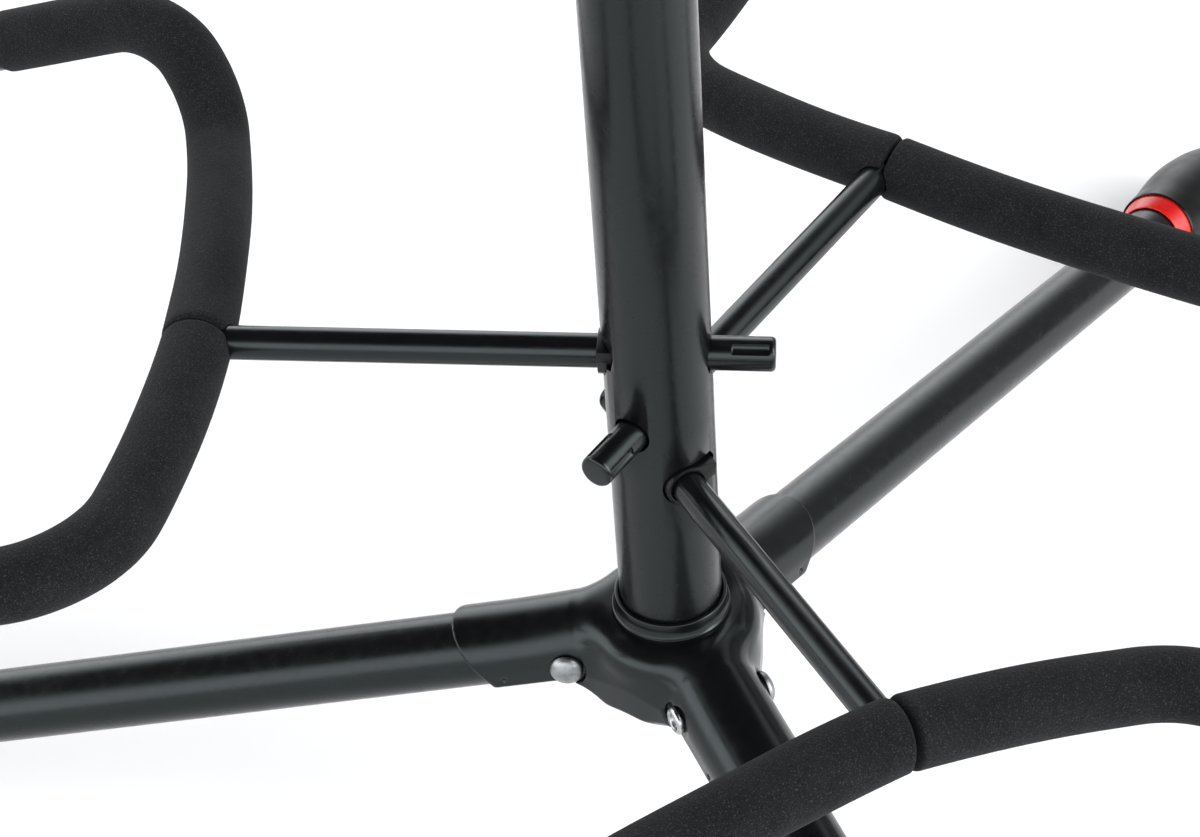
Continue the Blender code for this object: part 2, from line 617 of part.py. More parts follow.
def make_neck_fork(index):
    number = index + 1
    azimuth = LEG_AZIMUTHS[index] + COLUMN_TURN
    along, side, up = outward(azimuth), sideways(azimuth), Vector((0.0, 0.0, 1.0))
    origin = on_axis(ARM_SOCKET_Z)
    place = matrix_of(origin, along, side, up)
    path = arm_path()
    finish(swept("arm", [place @ p for p in path], ROD_RADIUS, 2), f"neck_arm_{number}", "powder_black",
           origin)

    height = path[-1].z
    pivot = place @ Vector((FORK_REACH, 0.0, height))
    rod_place = matrix_of(origin + up * height, side, up, along)
    socket = turned("socket", ((0.0, FORK_REACH - 0.0052), (0.0088, FORK_REACH - 0.0052),
                               (0.0088, FORK_REACH - 0.0240), (ROD_RADIUS + GAP, FORK_REACH - 0.0240),
                               (ROD_RADIUS + GAP, FORK_REACH - 0.0062), (0.0, FORK_REACH - 0.0062)),
                    16, rod_place)
    finish(socket, f"fork_swivel_{number}", "zinc", pivot)

    seat = place @ Matrix.Translation((FORK_REACH, 0.0, height))

    def in_place(trim):
        return [seat @ p for p in fork_path(trim)]

    frame = swept("fork", in_place(0.003), FORK_RADIUS, 1)
    finish(frame, f"fork_frame_{number}", "powder_black", pivot)
    sleeve = swept("pad", in_place(0.0), PAD_RADIUS, 1)
    core = swept("pad_core", in_place(-0.004), FORK_RADIUS + 0.001, 1)
    swivel_room = cylinder("swivel_room", 0.0095, pivot - along * 0.03, pivot - along * 0.0047, 16)
    sleeve = combine(sleeve, [core, swivel_room], "DIFFERENCE")
    finish(sleeve, f"fork_pad_{number}", "rubber", pivot)


def fork_path(trim):
    """The U of a neck fork, from tip to tip: a bar across, then prongs outward that rise at their ends."""
    half, corner, prong, tip_rise, rise_start = 0.031, 0.012, 0.058 - trim, math.radians(14.0), 0.024
    side = []
    for i in range(5):
        t = math.radians(22.5 * i)
        side.append(Vector((corner * (1 - math.cos(t)), half - corner + corner * math.sin(t), 0.0)))
    for out in (rise_start, prong):
        side.append(Vector((out, half, math.tan(tip_rise) * (out - rise_start))))
    return [Vector((p.x, -p.y, p.z)) for p in side[::-1]] + side


clear_scene()
RACK = new_collection("guitar_rack")
TOOLS = new_collection("cutters")

make_hub()
for leg_number, leg_azimuth in enumerate(LEG_AZIMUTHS, start=1):
    make_leg(leg_number, leg_azimuth)
make_column()
for cradle_index in range(len(ROD_HEIGHTS)):
    make_cradle(cradle_index)
make_clutch()
make_mast()
make_head()
for fork_index in range(len(LEG_AZIMUTHS)):
    make_neck_fork(fork_index)
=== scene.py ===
"""Looks for the guitar rack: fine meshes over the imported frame, their materials and a plain studio.

Metres, +Z up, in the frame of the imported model.  Every visible piece of the rack is remade here at a
finer grade than its CAD node, on the same axes, and rides on the same body.
"""
import json
import math

import bmesh
import bpy
import numpy as np
from mathutils import Matrix, Vector


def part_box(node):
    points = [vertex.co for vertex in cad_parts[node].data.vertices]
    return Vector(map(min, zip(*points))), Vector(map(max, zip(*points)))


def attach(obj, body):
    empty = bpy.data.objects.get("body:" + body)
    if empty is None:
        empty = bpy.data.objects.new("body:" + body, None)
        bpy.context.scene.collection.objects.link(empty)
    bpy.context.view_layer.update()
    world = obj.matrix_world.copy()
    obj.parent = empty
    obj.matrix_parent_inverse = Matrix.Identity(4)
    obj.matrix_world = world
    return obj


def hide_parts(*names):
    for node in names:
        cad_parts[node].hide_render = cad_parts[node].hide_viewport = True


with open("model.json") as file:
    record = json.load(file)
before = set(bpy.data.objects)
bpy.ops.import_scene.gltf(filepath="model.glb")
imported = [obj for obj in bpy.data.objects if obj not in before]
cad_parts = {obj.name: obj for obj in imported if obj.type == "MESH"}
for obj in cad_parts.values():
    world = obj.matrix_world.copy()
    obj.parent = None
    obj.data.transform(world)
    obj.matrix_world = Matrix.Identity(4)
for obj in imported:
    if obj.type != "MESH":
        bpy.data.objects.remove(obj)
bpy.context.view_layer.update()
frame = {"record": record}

NODE_BODY = {node: body for body, nodes in frame["record"]["behaviour"]["bodies"].items() for node in nodes}

# ---- sizes ----
column_low, column_high = (Vector(corner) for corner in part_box("lower_column"))
COLUMN_FOOT = Vector(((column_low.x + column_high.x) / 2, (column_low.y + column_high.y) / 2, 0.0))
LEG_AZIMUTHS = (150.0, 30.0, -90.0)        # degrees; the first runs off to the left of the picture
COLUMN_TURN = 0.8
CLEARANCE = 0.0003

LEG_SLOPE = 11.0
LEG_AXIS_Z = 0.0955
LEG_RADIUS = 0.0121
LEG_WALL = 0.0015
LEG_PIVOT = 0.0333
LEG_END = 0.405
BOLT_RADIUS = 0.003

COLUMN_RADIUS = 0.016
COLUMN_WALL = 0.0016
COLUMN_BOTTOM, COLUMN_TOP = column_low.z, column_high.z

HUB_TOP = 0.1115
HUB_BOTTOM = 0.0800
BOSS_BOTTOM = 0.0845                       # of the sleeve round the column's end, inside the hub
BOSS_RADIUS = 0.0190
DRUM_RADIUS = 0.0280
HUB_LID = 0.1057                           # the drum's top, 18 mm out from the axis
HUB_SKIN = 0.0026
SPOT_FACE_RADIUS = 0.0062
SHROUD_HALF_WIDTH = 0.0145
SHROUD_TOP_RADIUS = 0.0139                 # over the leg axis, at the shroud's outer end
SHROUD_LENGTH = 0.0695
SHROUD_DROP = 0.0052
SHROUD_CUT = 30.0                          # slant of the shroud's end, degrees
CHANNEL_RADIUS = 0.0124

ROD_RADIUS = 0.0051
ROD_HEIGHTS = (0.2055, 0.1855, 0.1655)
ROD_RISE = 1.6
ROD_STUB = 0.0345
ROD_REACH = 0.1352
CRADLE_ROLL = (9.4, 12.0, 4.0)
BUSH_RADIUS = 0.0067

FOAM_RADIUS = 0.0106
CAP_DEPTH = 0.0065
SHORT_SIDE = {"run": 0.072, "headings": (0.0, 11.0, 82.5, 83.0), "corner_radius": 0.0363,
              "arm": 0.100, "rises": (-12.2, -7.8, 2.5)}
LONG_SIDE = {"run": 0.1207, "headings": (3.3, 12.6, 66.0, 72.0), "corner_radius": 0.040,
             "arm": 0.080, "rises": (4.6, 45.6, -17.7)}

MAST_RADIUS = 0.0127
MAST_WALL = 0.0013
MAST_BOTTOM, MAST_TOP = 0.375, 1.000
CLUTCH_BOTTOM, CLUTCH_TOP = 0.524, 0.584
KNOB_Z, KNOB_AZIMUTH = 0.570, -30.0
ARM_SOCKET_Z = 0.985
FORK_REACH = 0.118
FORK_RADIUS = 0.0045
PAD_RADIUS = 0.0080

# The camera, from the column's foot, and the way it looks (degrees).
CAMERA_OFFSET = (-0.24971, -0.56351, 0.69565)
CAMERA_ANGLES = (50.098, 3.343, -25.022)
CAMERA_LENS = 81.416                       # for a sensor 36 mm wide


def make_camera():
    bpy.context.scene.view_settings.view_transform = "Standard"
    data = bpy.data.cameras.new("camera")
    data.sensor_width = 36.0
    data.lens = CAMERA_LENS
    data.clip_start = 0.01
    camera = bpy.data.objects.new("camera", data)
    camera.location = COLUMN_FOOT + Vector(CAMERA_OFFSET)
    camera.rotation_euler = [math.radians(a) for a in CAMERA_ANGLES]
    bpy.context.scene.collection.objects.link(camera)
    bpy.context.scene.camera = camera


make_camera()


# ---- directions and frames ----
def outward(azimuth, fall=0.0):
    a, s = math.radians(azimuth), math.radians(fall)
    return Vector((math.cos(a) * math.cos(s), math.sin(a) * math.cos(s), -math.sin(s)))


def sideways(azimuth):
    a = math.radians(azimuth)
    return Vector((-math.sin(a), math.cos(a), 0.0))


def on_axis(z):
    return COLUMN_FOOT + Vector((0.0, 0.0, z))


def matrix_of(origin, x_axis, y_axis, z_axis):
    m = Matrix.Identity(4)
    for column, axis in enumerate((x_axis, y_axis, z_axis)):
        m.col[column][:3] = axis
    m.translation = origin
    return m


def leg_frame(azimuth):
    """Placement whose X is to the leg's left side, Y is up and Z runs out along the leg's axis."""
    along, side = outward(azimuth, LEG_SLOPE), sideways(azimuth)
    return matrix_of(on_axis(LEG_AXIS_Z), side, along.cross(side), along)


def rod_frame(index):
    """The same for a cradle's rod, with the cradle's roll."""
    azimuth = LEG_AZIMUTHS[index] + COLUMN_TURN
    along = outward(azimuth, -ROD_RISE)
    side = Matrix.Rotation(math.radians(CRADLE_ROLL[index]), 3, along) @ sideways(azimuth)
    return matrix_of(on_axis(ROD_HEIGHTS[index]), side, along.cross(side), along)


COLUMN_FRAME = Matrix.Translation(COLUMN_FOOT)


# ---- mesh helpers ----
def new_object(name, verts, faces, place=None):
    mesh = bpy.data.meshes.new(name)
    mesh.from_pydata(np.asarray(verts).tolist(), [], [list(face) for face in faces])
    if place is not None:
        mesh.transform(place)
    bm = bmesh.new()
    bm.from_mesh(mesh)
    bmesh.ops.recalc_face_normals(bm, faces=bm.faces)
    bm.to_mesh(mesh)
    bm.free()
    obj = bpy.data.objects.new(name, mesh)
    bpy.context.scene.collection.objects.link(obj)
    return obj


def smooth(obj, angle=38.0):
    obj.data.shade_smooth()
    obj.data.set_sharp_from_angle(angle=math.radians(angle))
    return obj


def applied(obj):
    """Applies the object's modifiers to its mesh."""
    bpy.context.view_layer.update()
    mesh = bpy.data.meshes.new_from_object(obj.evaluated_get(bpy.context.evaluated_depsgraph_get()))
    obj.modifiers.clear()
    obj.data = mesh
    return obj


def combine(target, others, operation="DIFFERENCE"):
    for other in others:
        modifier = target.modifiers.new("combine", "BOOLEAN")
        modifier.operation = operation
        modifier.solver = "EXACT"
        modifier.object = other
        applied(target)
        bpy.data.objects.remove(other, do_unlink=True)
    return target


def eased(obj, width, angle=35.0, segments=2, rim_slot=-1):
    """Rounds the mesh's sharp edges by a small bevel, which can take a material slot of its own."""
    bevel = obj.modifiers.new("ease", "BEVEL")
    bevel.width = width
    bevel.segments = segments
    bevel.limit_method = "ANGLE"
    bevel.angle_limit = math.radians(angle)
    bevel.use_clamp_overlap = True
    bevel.material = rim_slot
    return smooth(applied(obj), angle)


def rounded(corners, closed=True, steps=4):
    """A profile of (radius, z, ease) corners, with a small curve cut over each corner that has an ease."""
    points = []
    count = len(corners)
    for i, corner in enumerate(corners):
        here = np.array(corner[:2], float)
        ease = corner[2] if len(corner) > 2 else 0.0
        if ease == 0.0 or (not closed and i in (0, count - 1)):
            points.append(here)
            continue
        before = np.array(corners[i - 1][:2], float) - here
        after = np.array(corners[(i + 1) % count][:2], float) - here
        room = 0.48 * min(np.linalg.norm(before), np.linalg.norm(after))
        reach = min(ease, room)
        a = here + before / np.linalg.norm(before) * reach
        b = here + after / np.linalg.norm(after) * reach
        for t in np.linspace(0.0, 1.0, steps + 1):
            points.append((1 - t) ** 2 * a + 2 * t * (1 - t) * here + t ** 2 * b)
    return np.array(points)


def divided(profile, longest, closed=True):
    """The profile with its long stretches cut into shorter ones."""
    points = []
    count = len(profile)
    for i in range(count if closed else count - 1):
        a, b = profile[i], profile[(i + 1) % count]
        pieces = max(1, math.ceil(np.linalg.norm(b - a) / longest))
        points += [a + (b - a) * k / pieces for k in range(pieces)]
    if not closed:
        points.append(profile[-1])
    return np.array(points)


def ring_faces(rings, closed):
    """Faces between neighbouring rings; a ring is a list of vertex numbers, or one number at a pole."""
    faces = []
    count = len(rings)
    for i in range(count if closed else count - 1):
        a, b = rings[i], rings[(i + 1) % count]
        sides = max(len(a), len(b))
        if sides == 1:
            continue
        for k in range(sides):
            n = (k + 1) % sides
            if len(a) == 1:
                faces.append((a[0], b[k], b[n]))
            elif len(b) == 1:
                faces.append((a[k], b[0], a[n]))
            else:
                faces.append((a[k], b[k], b[n], a[n]))
    return faces


def turned(name, profile, place=COLUMN_FRAME, sides=96, closed=True):
    """A solid of revolution about the placement's Z.  Where the profile isn't closed its ends are poles."""
    verts, rings = [], []
    turn = np.linspace(0.0, math.tau, sides, endpoint=False)
    for r, z in np.asarray(profile)[:, :2]:
        start = len(verts)
        if r < 1e-7:
            verts.append((0.0, 0.0, z))
            rings.append([start])
        else:
            verts += [(r * math.cos(a), r * math.sin(a), z) for a in turn]
            rings.append(list(range(start, start + sides)))
    return smooth(new_object(name, verts, ring_faces(rings, closed), place))


def spun(name, corners, place=COLUMN_FRAME, sides=64, steps=4):
    """A solid turned from rounded corners, the first and last of them on the axis."""
    return turned(name, rounded(corners, False, steps), place, sides, False)


def bar_profile(radius, low, high, longest, ease=0.0006):
    """The profile of a round bar between two distances along its axis, for piping."""
    corners = ((0.0, high), (radius, high, ease), (radius, low, ease), (0.0, low))
    return divided(rounded(corners, False), longest, False)


def path_frames(points):
    """Distances along dense points, with a tangent and two cross directions that don't twist."""
    points = np.asarray(points, float)
    steps = np.diff(points, axis=0)
    lengths = np.linalg.norm(steps, axis=1)
    distance = np.concatenate([[0.0], np.cumsum(lengths)])
    tangents = np.gradient(points, distance, axis=0)
    tangents /= np.linalg.norm(tangents, axis=1)[:, None]
    first = np.cross(tangents[0], (0.0, 0.0, 1.0))
    first /= np.linalg.norm(first)
    across = [first]
    for t in tangents[1:]:
        v = across[-1] - t * np.dot(across[-1], t)
        across.append(v / np.linalg.norm(v))
    across = np.array(across)
    return distance, points, tangents, across, np.cross(tangents, across)


def piped(name, points, profile, sides=48, closed=True, ripple=None):
    """A turned shape whose axis is bent along the points; the profile is (radius, distance along)."""
    distance, centers, tangents, across, over = path_frames(points)
    turn = np.linspace(0.0, math.tau, sides, endpoint=False)
    verts, rings = [], []

    def read(table, s):
        return np.array([np.interp(s, distance, table[:, k]) for k in range(3)])

    for r, s in profile:
        inside = min(max(s, 0.0), distance[-1])
        center = read(centers, inside) + read(tangents, inside) * (s - inside)
        start = len(verts)
        if r < 1e-7:
            verts.append(center)
            rings.append([start])
            continue
        u, v = read(across, inside), read(over, inside)
        radii = np.full(sides, r)
        if ripple is not None:
            radii = radii + ripple(s, turn, r)
        verts += list(center + radii[:, None] * (np.cos(turn)[:, None] * u + np.sin(turn)[:, None] * v))
        rings.append(list(range(start, start + sides)))
    return smooth(new_object(name, verts, ring_faces(rings, closed)))


def cylinder(name, radius, start, end, sides=64):
    axis = (end - start).normalized()
    across = axis.orthogonal().normalized()
    place = matrix_of(start, across, axis.cross(across), axis)
    length = (end - start).length
    return turned(name, ((0.0, length), (radius, length), (radius, 0.0), (0.0, 0.0)), place, sides, False)


def prism(name, outline, depth, place):
    """A flat outline in the placement's XY plane, with its thickness centred on Z."""
    count = len(outline)
    verts = [(x, y, -depth / 2) for x, y in outline] + [(x, y, depth / 2) for x, y in outline]
    faces = [tuple(range(count))[::-1], tuple(range(count, 2 * count))]
    faces += [(i, (i + 1) % count, (i + 1) % count + count, i + count) for i in range(count)]
    return new_object(name, verts, faces, place)


# ---- sculpting by distance fields ----
def soft_min(a, b, reach):
    """The union of two fields, with a fillet about that wide where they meet."""
    h = np.maximum(reach - np.abs(a - b), 0.0) / reach
    return np.minimum(a, b) - h * h * reach / 4


def soft_max(a, b, reach):
    return -soft_min(-a, -b, reach)


def local_to(place, x, y, z):
    """Coordinates in a placement's frame."""
    m = np.array(place.inverted())
    return tuple(m[i, 0] * x + m[i, 1] * y + m[i, 2] * z + m[i, 3] for i in range(3))


def sculpted(name, low, high, step, field):
    """A mesh of the surface where the field is zero, by surface nets, then drawn on to the field."""
    axes = [np.arange(a, b + step, step) for a, b in zip(low, high)]
    grid = np.meshgrid(*axes, indexing="ij")
    value = field(*grid)
    inside = value < 0.0
    counts = tuple(n - 1 for n in value.shape)
    total, crossings = np.zeros(counts + (3,)), np.zeros(counts)
    edges = []
    for axis in range(3):
        first = [slice(None)] * 3
        second = [slice(None)] * 3
        first[axis], second[axis] = slice(0, -1), slice(1, None)
        first, second = tuple(first), tuple(second)
        crossed = inside[first] != inside[second]
        gap = np.where(crossed, value[first] - value[second], 1.0)
        part = value[first] / gap
        position = np.stack([g[first] for g in grid], axis=-1)
        position[..., axis] += part * step
        position[~crossed] = 0.0
        others = [k for k in range(3) if k != axis]
        for p in (0, 1):
            for q in (0, 1):
                cut = [slice(None)] * 3
                cut[others[0]] = slice(p, counts[others[0]] + p)
                cut[others[1]] = slice(q, counts[others[1]] + q)
                total += position[tuple(cut)]
                crossings += crossed[tuple(cut)]
        edges.append((crossed, others))
    used = crossings > 0
    number = np.full(counts, -1)
    number[used] = np.arange(used.sum())
    verts = total[used] / crossings[used][:, None]
    faces = []
    for crossed, others in edges:
        index = np.argwhere(crossed)
        for k in others:
            index = index[(index[:, k] > 0) & (index[:, k] < counts[k])]
        corners = []
        for p, q in ((1, 1), (0, 1), (0, 0), (1, 0)):
            cell = index.copy()
            cell[:, others[0]] -= p
            cell[:, others[1]] -= q
            corners.append(number[cell[:, 0], cell[:, 1], cell[:, 2]])
        faces.append(np.stack(corners, axis=1))
    for _ in range(2):
        verts = verts - drawn_by(field, verts, step / 2)
    return smooth(new_object(name, verts, np.concatenate(faces)), 60.0)


def drawn_by(field, points, span):
    """How far each point is from the field's surface, as a vector, limited to the span."""
    def at(offset):
        p = points + offset
        return field(p[:, 0], p[:, 1], p[:, 2])

    here = at(np.zeros(3))
    slope = np.stack([(at(span * e) - at(-span * e)) / (2 * span) for e in np.eye(3)], axis=1)
    size = np.maximum(np.sum(slope * slope, axis=1), 0.05)
    move = np.clip(here / size, -span, span)
    return slope * move[:, None]


# ---- materials ----
def new_material(name, color, roughness, metallic=0.0, specular=0.5):
    mat = bpy.data.materials.new(name)
    mat.use_nodes = True
    shader = mat.node_tree.nodes["Principled BSDF"]
    shader.inputs["Base Color"].default_value = (*color, 1.0)
    shader.inputs["Roughness"].default_value = roughness
    shader.inputs["Metallic"].default_value = metallic
    shader.inputs["Specular IOR Level"].default_value = specular
    return mat, mat.node_tree, shader


def noise(tree, size, detail=2.0, roughness=0.5, stretch=(1.0, 1.0, 1.0)):
    """A noise whose grains are about that size, in metres."""
    place = tree.nodes.new("ShaderNodeTexCoord")
    mapping = tree.nodes.new("ShaderNodeMapping")
    mapping.inputs["Scale"].default_value = [s / size for s in stretch]
    texture = tree.nodes.new("ShaderNodeTexNoise")
    texture.inputs["Scale"].default_value = 1.0
    texture.inputs["Detail"].default_value = detail
    texture.inputs["Roughness"].default_value = roughness
    tree.links.new(place.outputs["Object"], mapping.inputs["Vector"])
    tree.links.new(mapping.outputs["Vector"], texture.inputs["Vector"])
    return texture.outputs["Fac"]


def cells(tree, size, feature="F1"):
    """Rounded cells about that size, in metres."""
    place = tree.nodes.new("ShaderNodeTexCoord")
    texture = tree.nodes.new("ShaderNodeTexVoronoi")
    texture.feature = feature
    texture.inputs["Scale"].default_value = 1.0 / size
    tree.links.new(place.outputs["Object"], texture.inputs["Vector"])
    return texture.outputs["Distance"]


def ramp(tree, value, low, high, from_low=0.0, from_high=1.0):
    """The value mapped from one range to another, clamped."""
    node = tree.nodes.new("ShaderNodeMapRange")
    for key, number in (("From Min", from_low), ("From Max", from_high), ("To Min", low), ("To Max", high)):
        node.inputs[key].default_value = number
    tree.links.new(value, node.inputs["Value"])
    return node.outputs["Result"]


def mixed(tree, factor, dark, light):
    """A blend of two colours, of which the first may be another node's output."""
    node = tree.nodes.new("ShaderNodeMix")
    node.data_type = "RGBA"
    if isinstance(dark, bpy.types.NodeSocket):
        tree.links.new(dark, node.inputs["A"])
    else:
        node.inputs["A"].default_value = (*dark, 1.0)
    node.inputs["B"].default_value = (*light, 1.0)
    tree.links.new(factor, node.inputs["Factor"])
    return node.outputs["Result"]


def added(tree, a, b, operation="ADD"):
    node = tree.nodes.new("ShaderNodeMath")
    node.operation = operation
    tree.links.new(a, node.inputs[0])
    tree.links.new(b, node.inputs[1])
    return node.outputs["Value"]


def bumped(tree, shader, height, strength, distance):
    node = tree.nodes.new("ShaderNodeBump")
    node.inputs["Strength"].default_value = strength
    node.inputs["Distance"].default_value = distance
    tree.links.new(height, node.inputs["Height"])
    tree.links.new(node.outputs["Normal"], shader.inputs["Normal"])


def powder_coat(name, color, roughness):
    """Satin powder coat: fine orange peel, faint mottling and a slightly uneven gloss."""
    mat, tree, shader = new_material(name, color, roughness, specular=0.34)
    shader.inputs["Specular Tint"].default_value = (0.86, 0.98, 1.0, 1.0)
    mottling = ramp(tree, noise(tree, 0.035, 3.0), 0.0, 1.0, 0.3, 0.7)
    base = mixed(tree, mottling, [c * 0.85 for c in color], [c * 1.2 for c in color])
    tree.links.new(base, shader.inputs["Base Color"])
    tree.links.new(ramp(tree, noise(tree, 0.004, 3.0), roughness - 0.04, roughness + 0.04, 0.3, 0.7),
                   shader.inputs["Roughness"])
    grain = added(tree, noise(tree, 0.0011, 2.0), noise(tree, 0.0004, 2.0))
    bumped(tree, shader, grain, 0.10, 0.00006)
    return mat


def foam_material(name):
    """Closed-cell foam: a fine open grain, paler flecks where cells were cut, dusty and dead matt."""
    mat, tree, shader = new_material(name, (0.006, 0.0063, 0.0066), 0.88, specular=0.08)
    grain = noise(tree, 0.00075, 3.0, 0.7)
    flecks = ramp(tree, noise(tree, 0.00045, 2.0, 0.6), 0.0, 1.0, 0.56, 0.80)
    clouds = noise(tree, 0.012, 3.0)
    tone = added(tree, ramp(tree, grain, 0.0, 0.6, 0.35, 0.70), ramp(tree, clouds, 0.0, 0.4, 0.3, 0.7))
    base = mixed(tree, tone, (0.0022, 0.0024, 0.0026), (0.0105, 0.0112, 0.0118))
    tree.links.new(mixed(tree, flecks, base, (0.048, 0.052, 0.055)), shader.inputs["Base Color"])
    shader.inputs["Sheen Weight"].default_value = 0.03
    shader.inputs["Sheen Roughness"].default_value = 0.6
    bumped(tree, shader, added(tree, grain, cells(tree, 0.0011)), 0.55, 0.00022)
    return mat


def moulded(name, color, roughness, grain_size=0.0007, depth=0.00005, specular=0.25):
    """Moulded plastic or rubber: an even fine grain and slightly uneven gloss."""
    mat, tree, shader = new_material(name, color, roughness, specular=specular)
    base = mixed(tree, ramp(tree, noise(tree, 0.02, 3.0), 0.0, 1.0, 0.3, 0.7),
                 [c * 0.85 for c in color], [c * 1.25 for c in color])
    tree.links.new(base, shader.inputs["Base Color"])
    tree.links.new(ramp(tree, noise(tree, 0.006, 3.0), roughness - 0.05, roughness + 0.06, 0.3, 0.7),
                   shader.inputs["Roughness"])
    bumped(tree, shader, noise(tree, grain_size, 2.0), 0.25, depth)
    return mat


def plated(name, color, roughness, stretch=(1.0, 1.0, 1.0)):
    """Zinc-plated steel: grey metal with fine scratches and duller patches."""
    mat, tree, shader = new_material(name, color, roughness, metallic=1.0)
    patches = ramp(tree, noise(tree, 0.004, 5.0, 0.6), 0.0, 1.0, 0.35, 0.65)
    base = mixed(tree, patches, [c * 0.72 for c in color], [min(1.0, c * 1.15) for c in color])
    tree.links.new(base, shader.inputs["Base Color"])
    tree.links.new(ramp(tree, noise(tree, 0.0011, 4.0, 0.7), roughness - 0.08, roughness + 0.16, 0.3, 0.7),
                   shader.inputs["Roughness"])
    bumped(tree, shader, noise(tree, 0.0006, 3.0, 0.6, stretch), 0.2, 0.00004)
    return mat


BLACK = (0.0028, 0.0031, 0.0033)
POWDER = powder_coat("powder_coat", BLACK, 0.25)
CAST = powder_coat("powder_coat_cast", BLACK, 0.23)
ROD_COAT = powder_coat("powder_coat_rod", BLACK, 0.23)
FOAM = foam_material("foam")
RUBBER = moulded("rubber", (0.0030, 0.0032, 0.0033), 0.32, specular=0.18)
PAD_RUBBER = moulded("pad_rubber", (0.0065, 0.0065, 0.0065), 0.55, 0.0009, 0.0001)
RED = moulded("red_rubber", (0.45, 0.007, 0.006), 0.26, 0.002, 0.00003, 0.5)
PLASTIC = moulded("plastic", (0.0025, 0.0027, 0.0028), 0.30)
ZINC = plated("zinc", (0.27, 0.28, 0.285), 0.38)
BRIGHT = plated("bright_steel", (0.42, 0.43, 0.44), 0.26)
# Bright steel colour for the plastic bushes' bevelled rims: a painted highlight along their edges, not wear.
PAINTED_RIM_HIGHLIGHT = plated("painted_rim_highlight", (0.78, 0.79, 0.80), 0.50)


def piece(obj, node, mat, name=None):
    """The object stands for the CAD node: it has its name, rides on its body and takes the material."""
    obj.name = name or f"fine_{node}"
    obj.data.materials.clear()
    obj.data.materials.append(mat)
    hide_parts(node)
    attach(obj, NODE_BODY[node])
    return obj


# ---- hub ----
def hub_field(x, y, z):
    """Distance field of the cast hub: a drum, three shrouds and a collar, hollowed from below."""
    px, py = x - COLUMN_FOOT.x, y - COLUMN_FOOT.y
    radius = np.hypot(px, py)
    lid = (z - HUB_LID + (radius - 0.0180) * 0.20) / 1.02
    wall = radius - DRUM_RADIUS
    outer = soft_max(soft_max(lid, wall, 0.0075), HUB_BOTTOM - z, 0.0009)
    hollow = soft_max(lid + HUB_SKIN, wall + HUB_SKIN, 0.005)
    for azimuth in LEG_AZIMUTHS:
        s, h, t = local_to(leg_frame(azimuth), x, y, z)
        rise = 0.0012 * np.clip((0.056 - t) / 0.026, 0.0, 1.0) ** 2
        top = SHROUD_TOP_RADIUS + rise
        over = np.where(h > 0, h * SHROUD_HALF_WIDTH / top, 0.0)
        section = np.hypot(s, over) - SHROUD_HALF_WIDTH
        tilt = math.radians(SHROUD_CUT)
        edge = (t - SHROUD_LENGTH) * math.cos(tilt) - (h - SHROUD_TOP_RADIUS) * math.sin(tilt)
        shroud = soft_max(soft_max(section, edge, 0.0009), -h - SHROUD_DROP, 0.0009)
        shroud = np.maximum(shroud, 0.008 - t)
        outer = soft_min(outer, shroud, 0.0045 + 0.0075 * np.clip((0.008 - h) / 0.010, 0.0, 1.0))
        behind = np.maximum(LEG_PIVOT - t, 0.0)
        room = np.sqrt(s ** 2 + behind ** 2 + np.maximum(h, 0.0) ** 2) - CHANNEL_RADIUS
        hollow = np.minimum(hollow, room)
    dish = (z - 0.1054 - np.maximum(radius - 0.0184, 0.0) * 0.30) / 1.04
    outer = soft_max(outer, dish, 0.0030)
    collar = np.maximum(soft_max(radius - 0.0169, z - HUB_TOP + 0.0012, 0.0012), 0.0900 - z)
    boss = np.maximum(radius - BOSS_RADIUS, BOSS_BOTTOM - z)
    outer = soft_min(outer, collar, 0.0008)
    solid = soft_max(outer, -np.maximum(hollow, BOSS_RADIUS - radius), 0.0007)
    solid = np.minimum(solid, np.maximum(boss, z - 0.1000))
    solid = np.maximum(solid, np.where(radius < BOSS_RADIUS, BOSS_BOTTOM - z, -1.0))
    solid = soft_max(solid, COLUMN_RADIUS + CLEARANCE - radius, 0.0005)
    for azimuth in LEG_AZIMUTHS:
        s, h, t = local_to(leg_frame(azimuth), x, y, z)
        from_pivot = np.hypot(h, t - LEG_PIVOT)
        solid = np.maximum(solid, BOLT_RADIUS + CLEARANCE - from_pivot)
        spot = np.maximum(from_pivot - SPOT_FACE_RADIUS, SHROUD_HALF_WIDTH - np.abs(s))
        solid = soft_max(solid, -spot, 0.0005)
        dimple = np.sqrt((np.abs(s) - SHROUD_HALF_WIDTH - 0.0003) ** 2 + (h + 0.0022) ** 2
                         + (t - 0.0545) ** 2) - 0.0011
        solid = soft_max(solid, -dimple, 0.0004)
    return solid


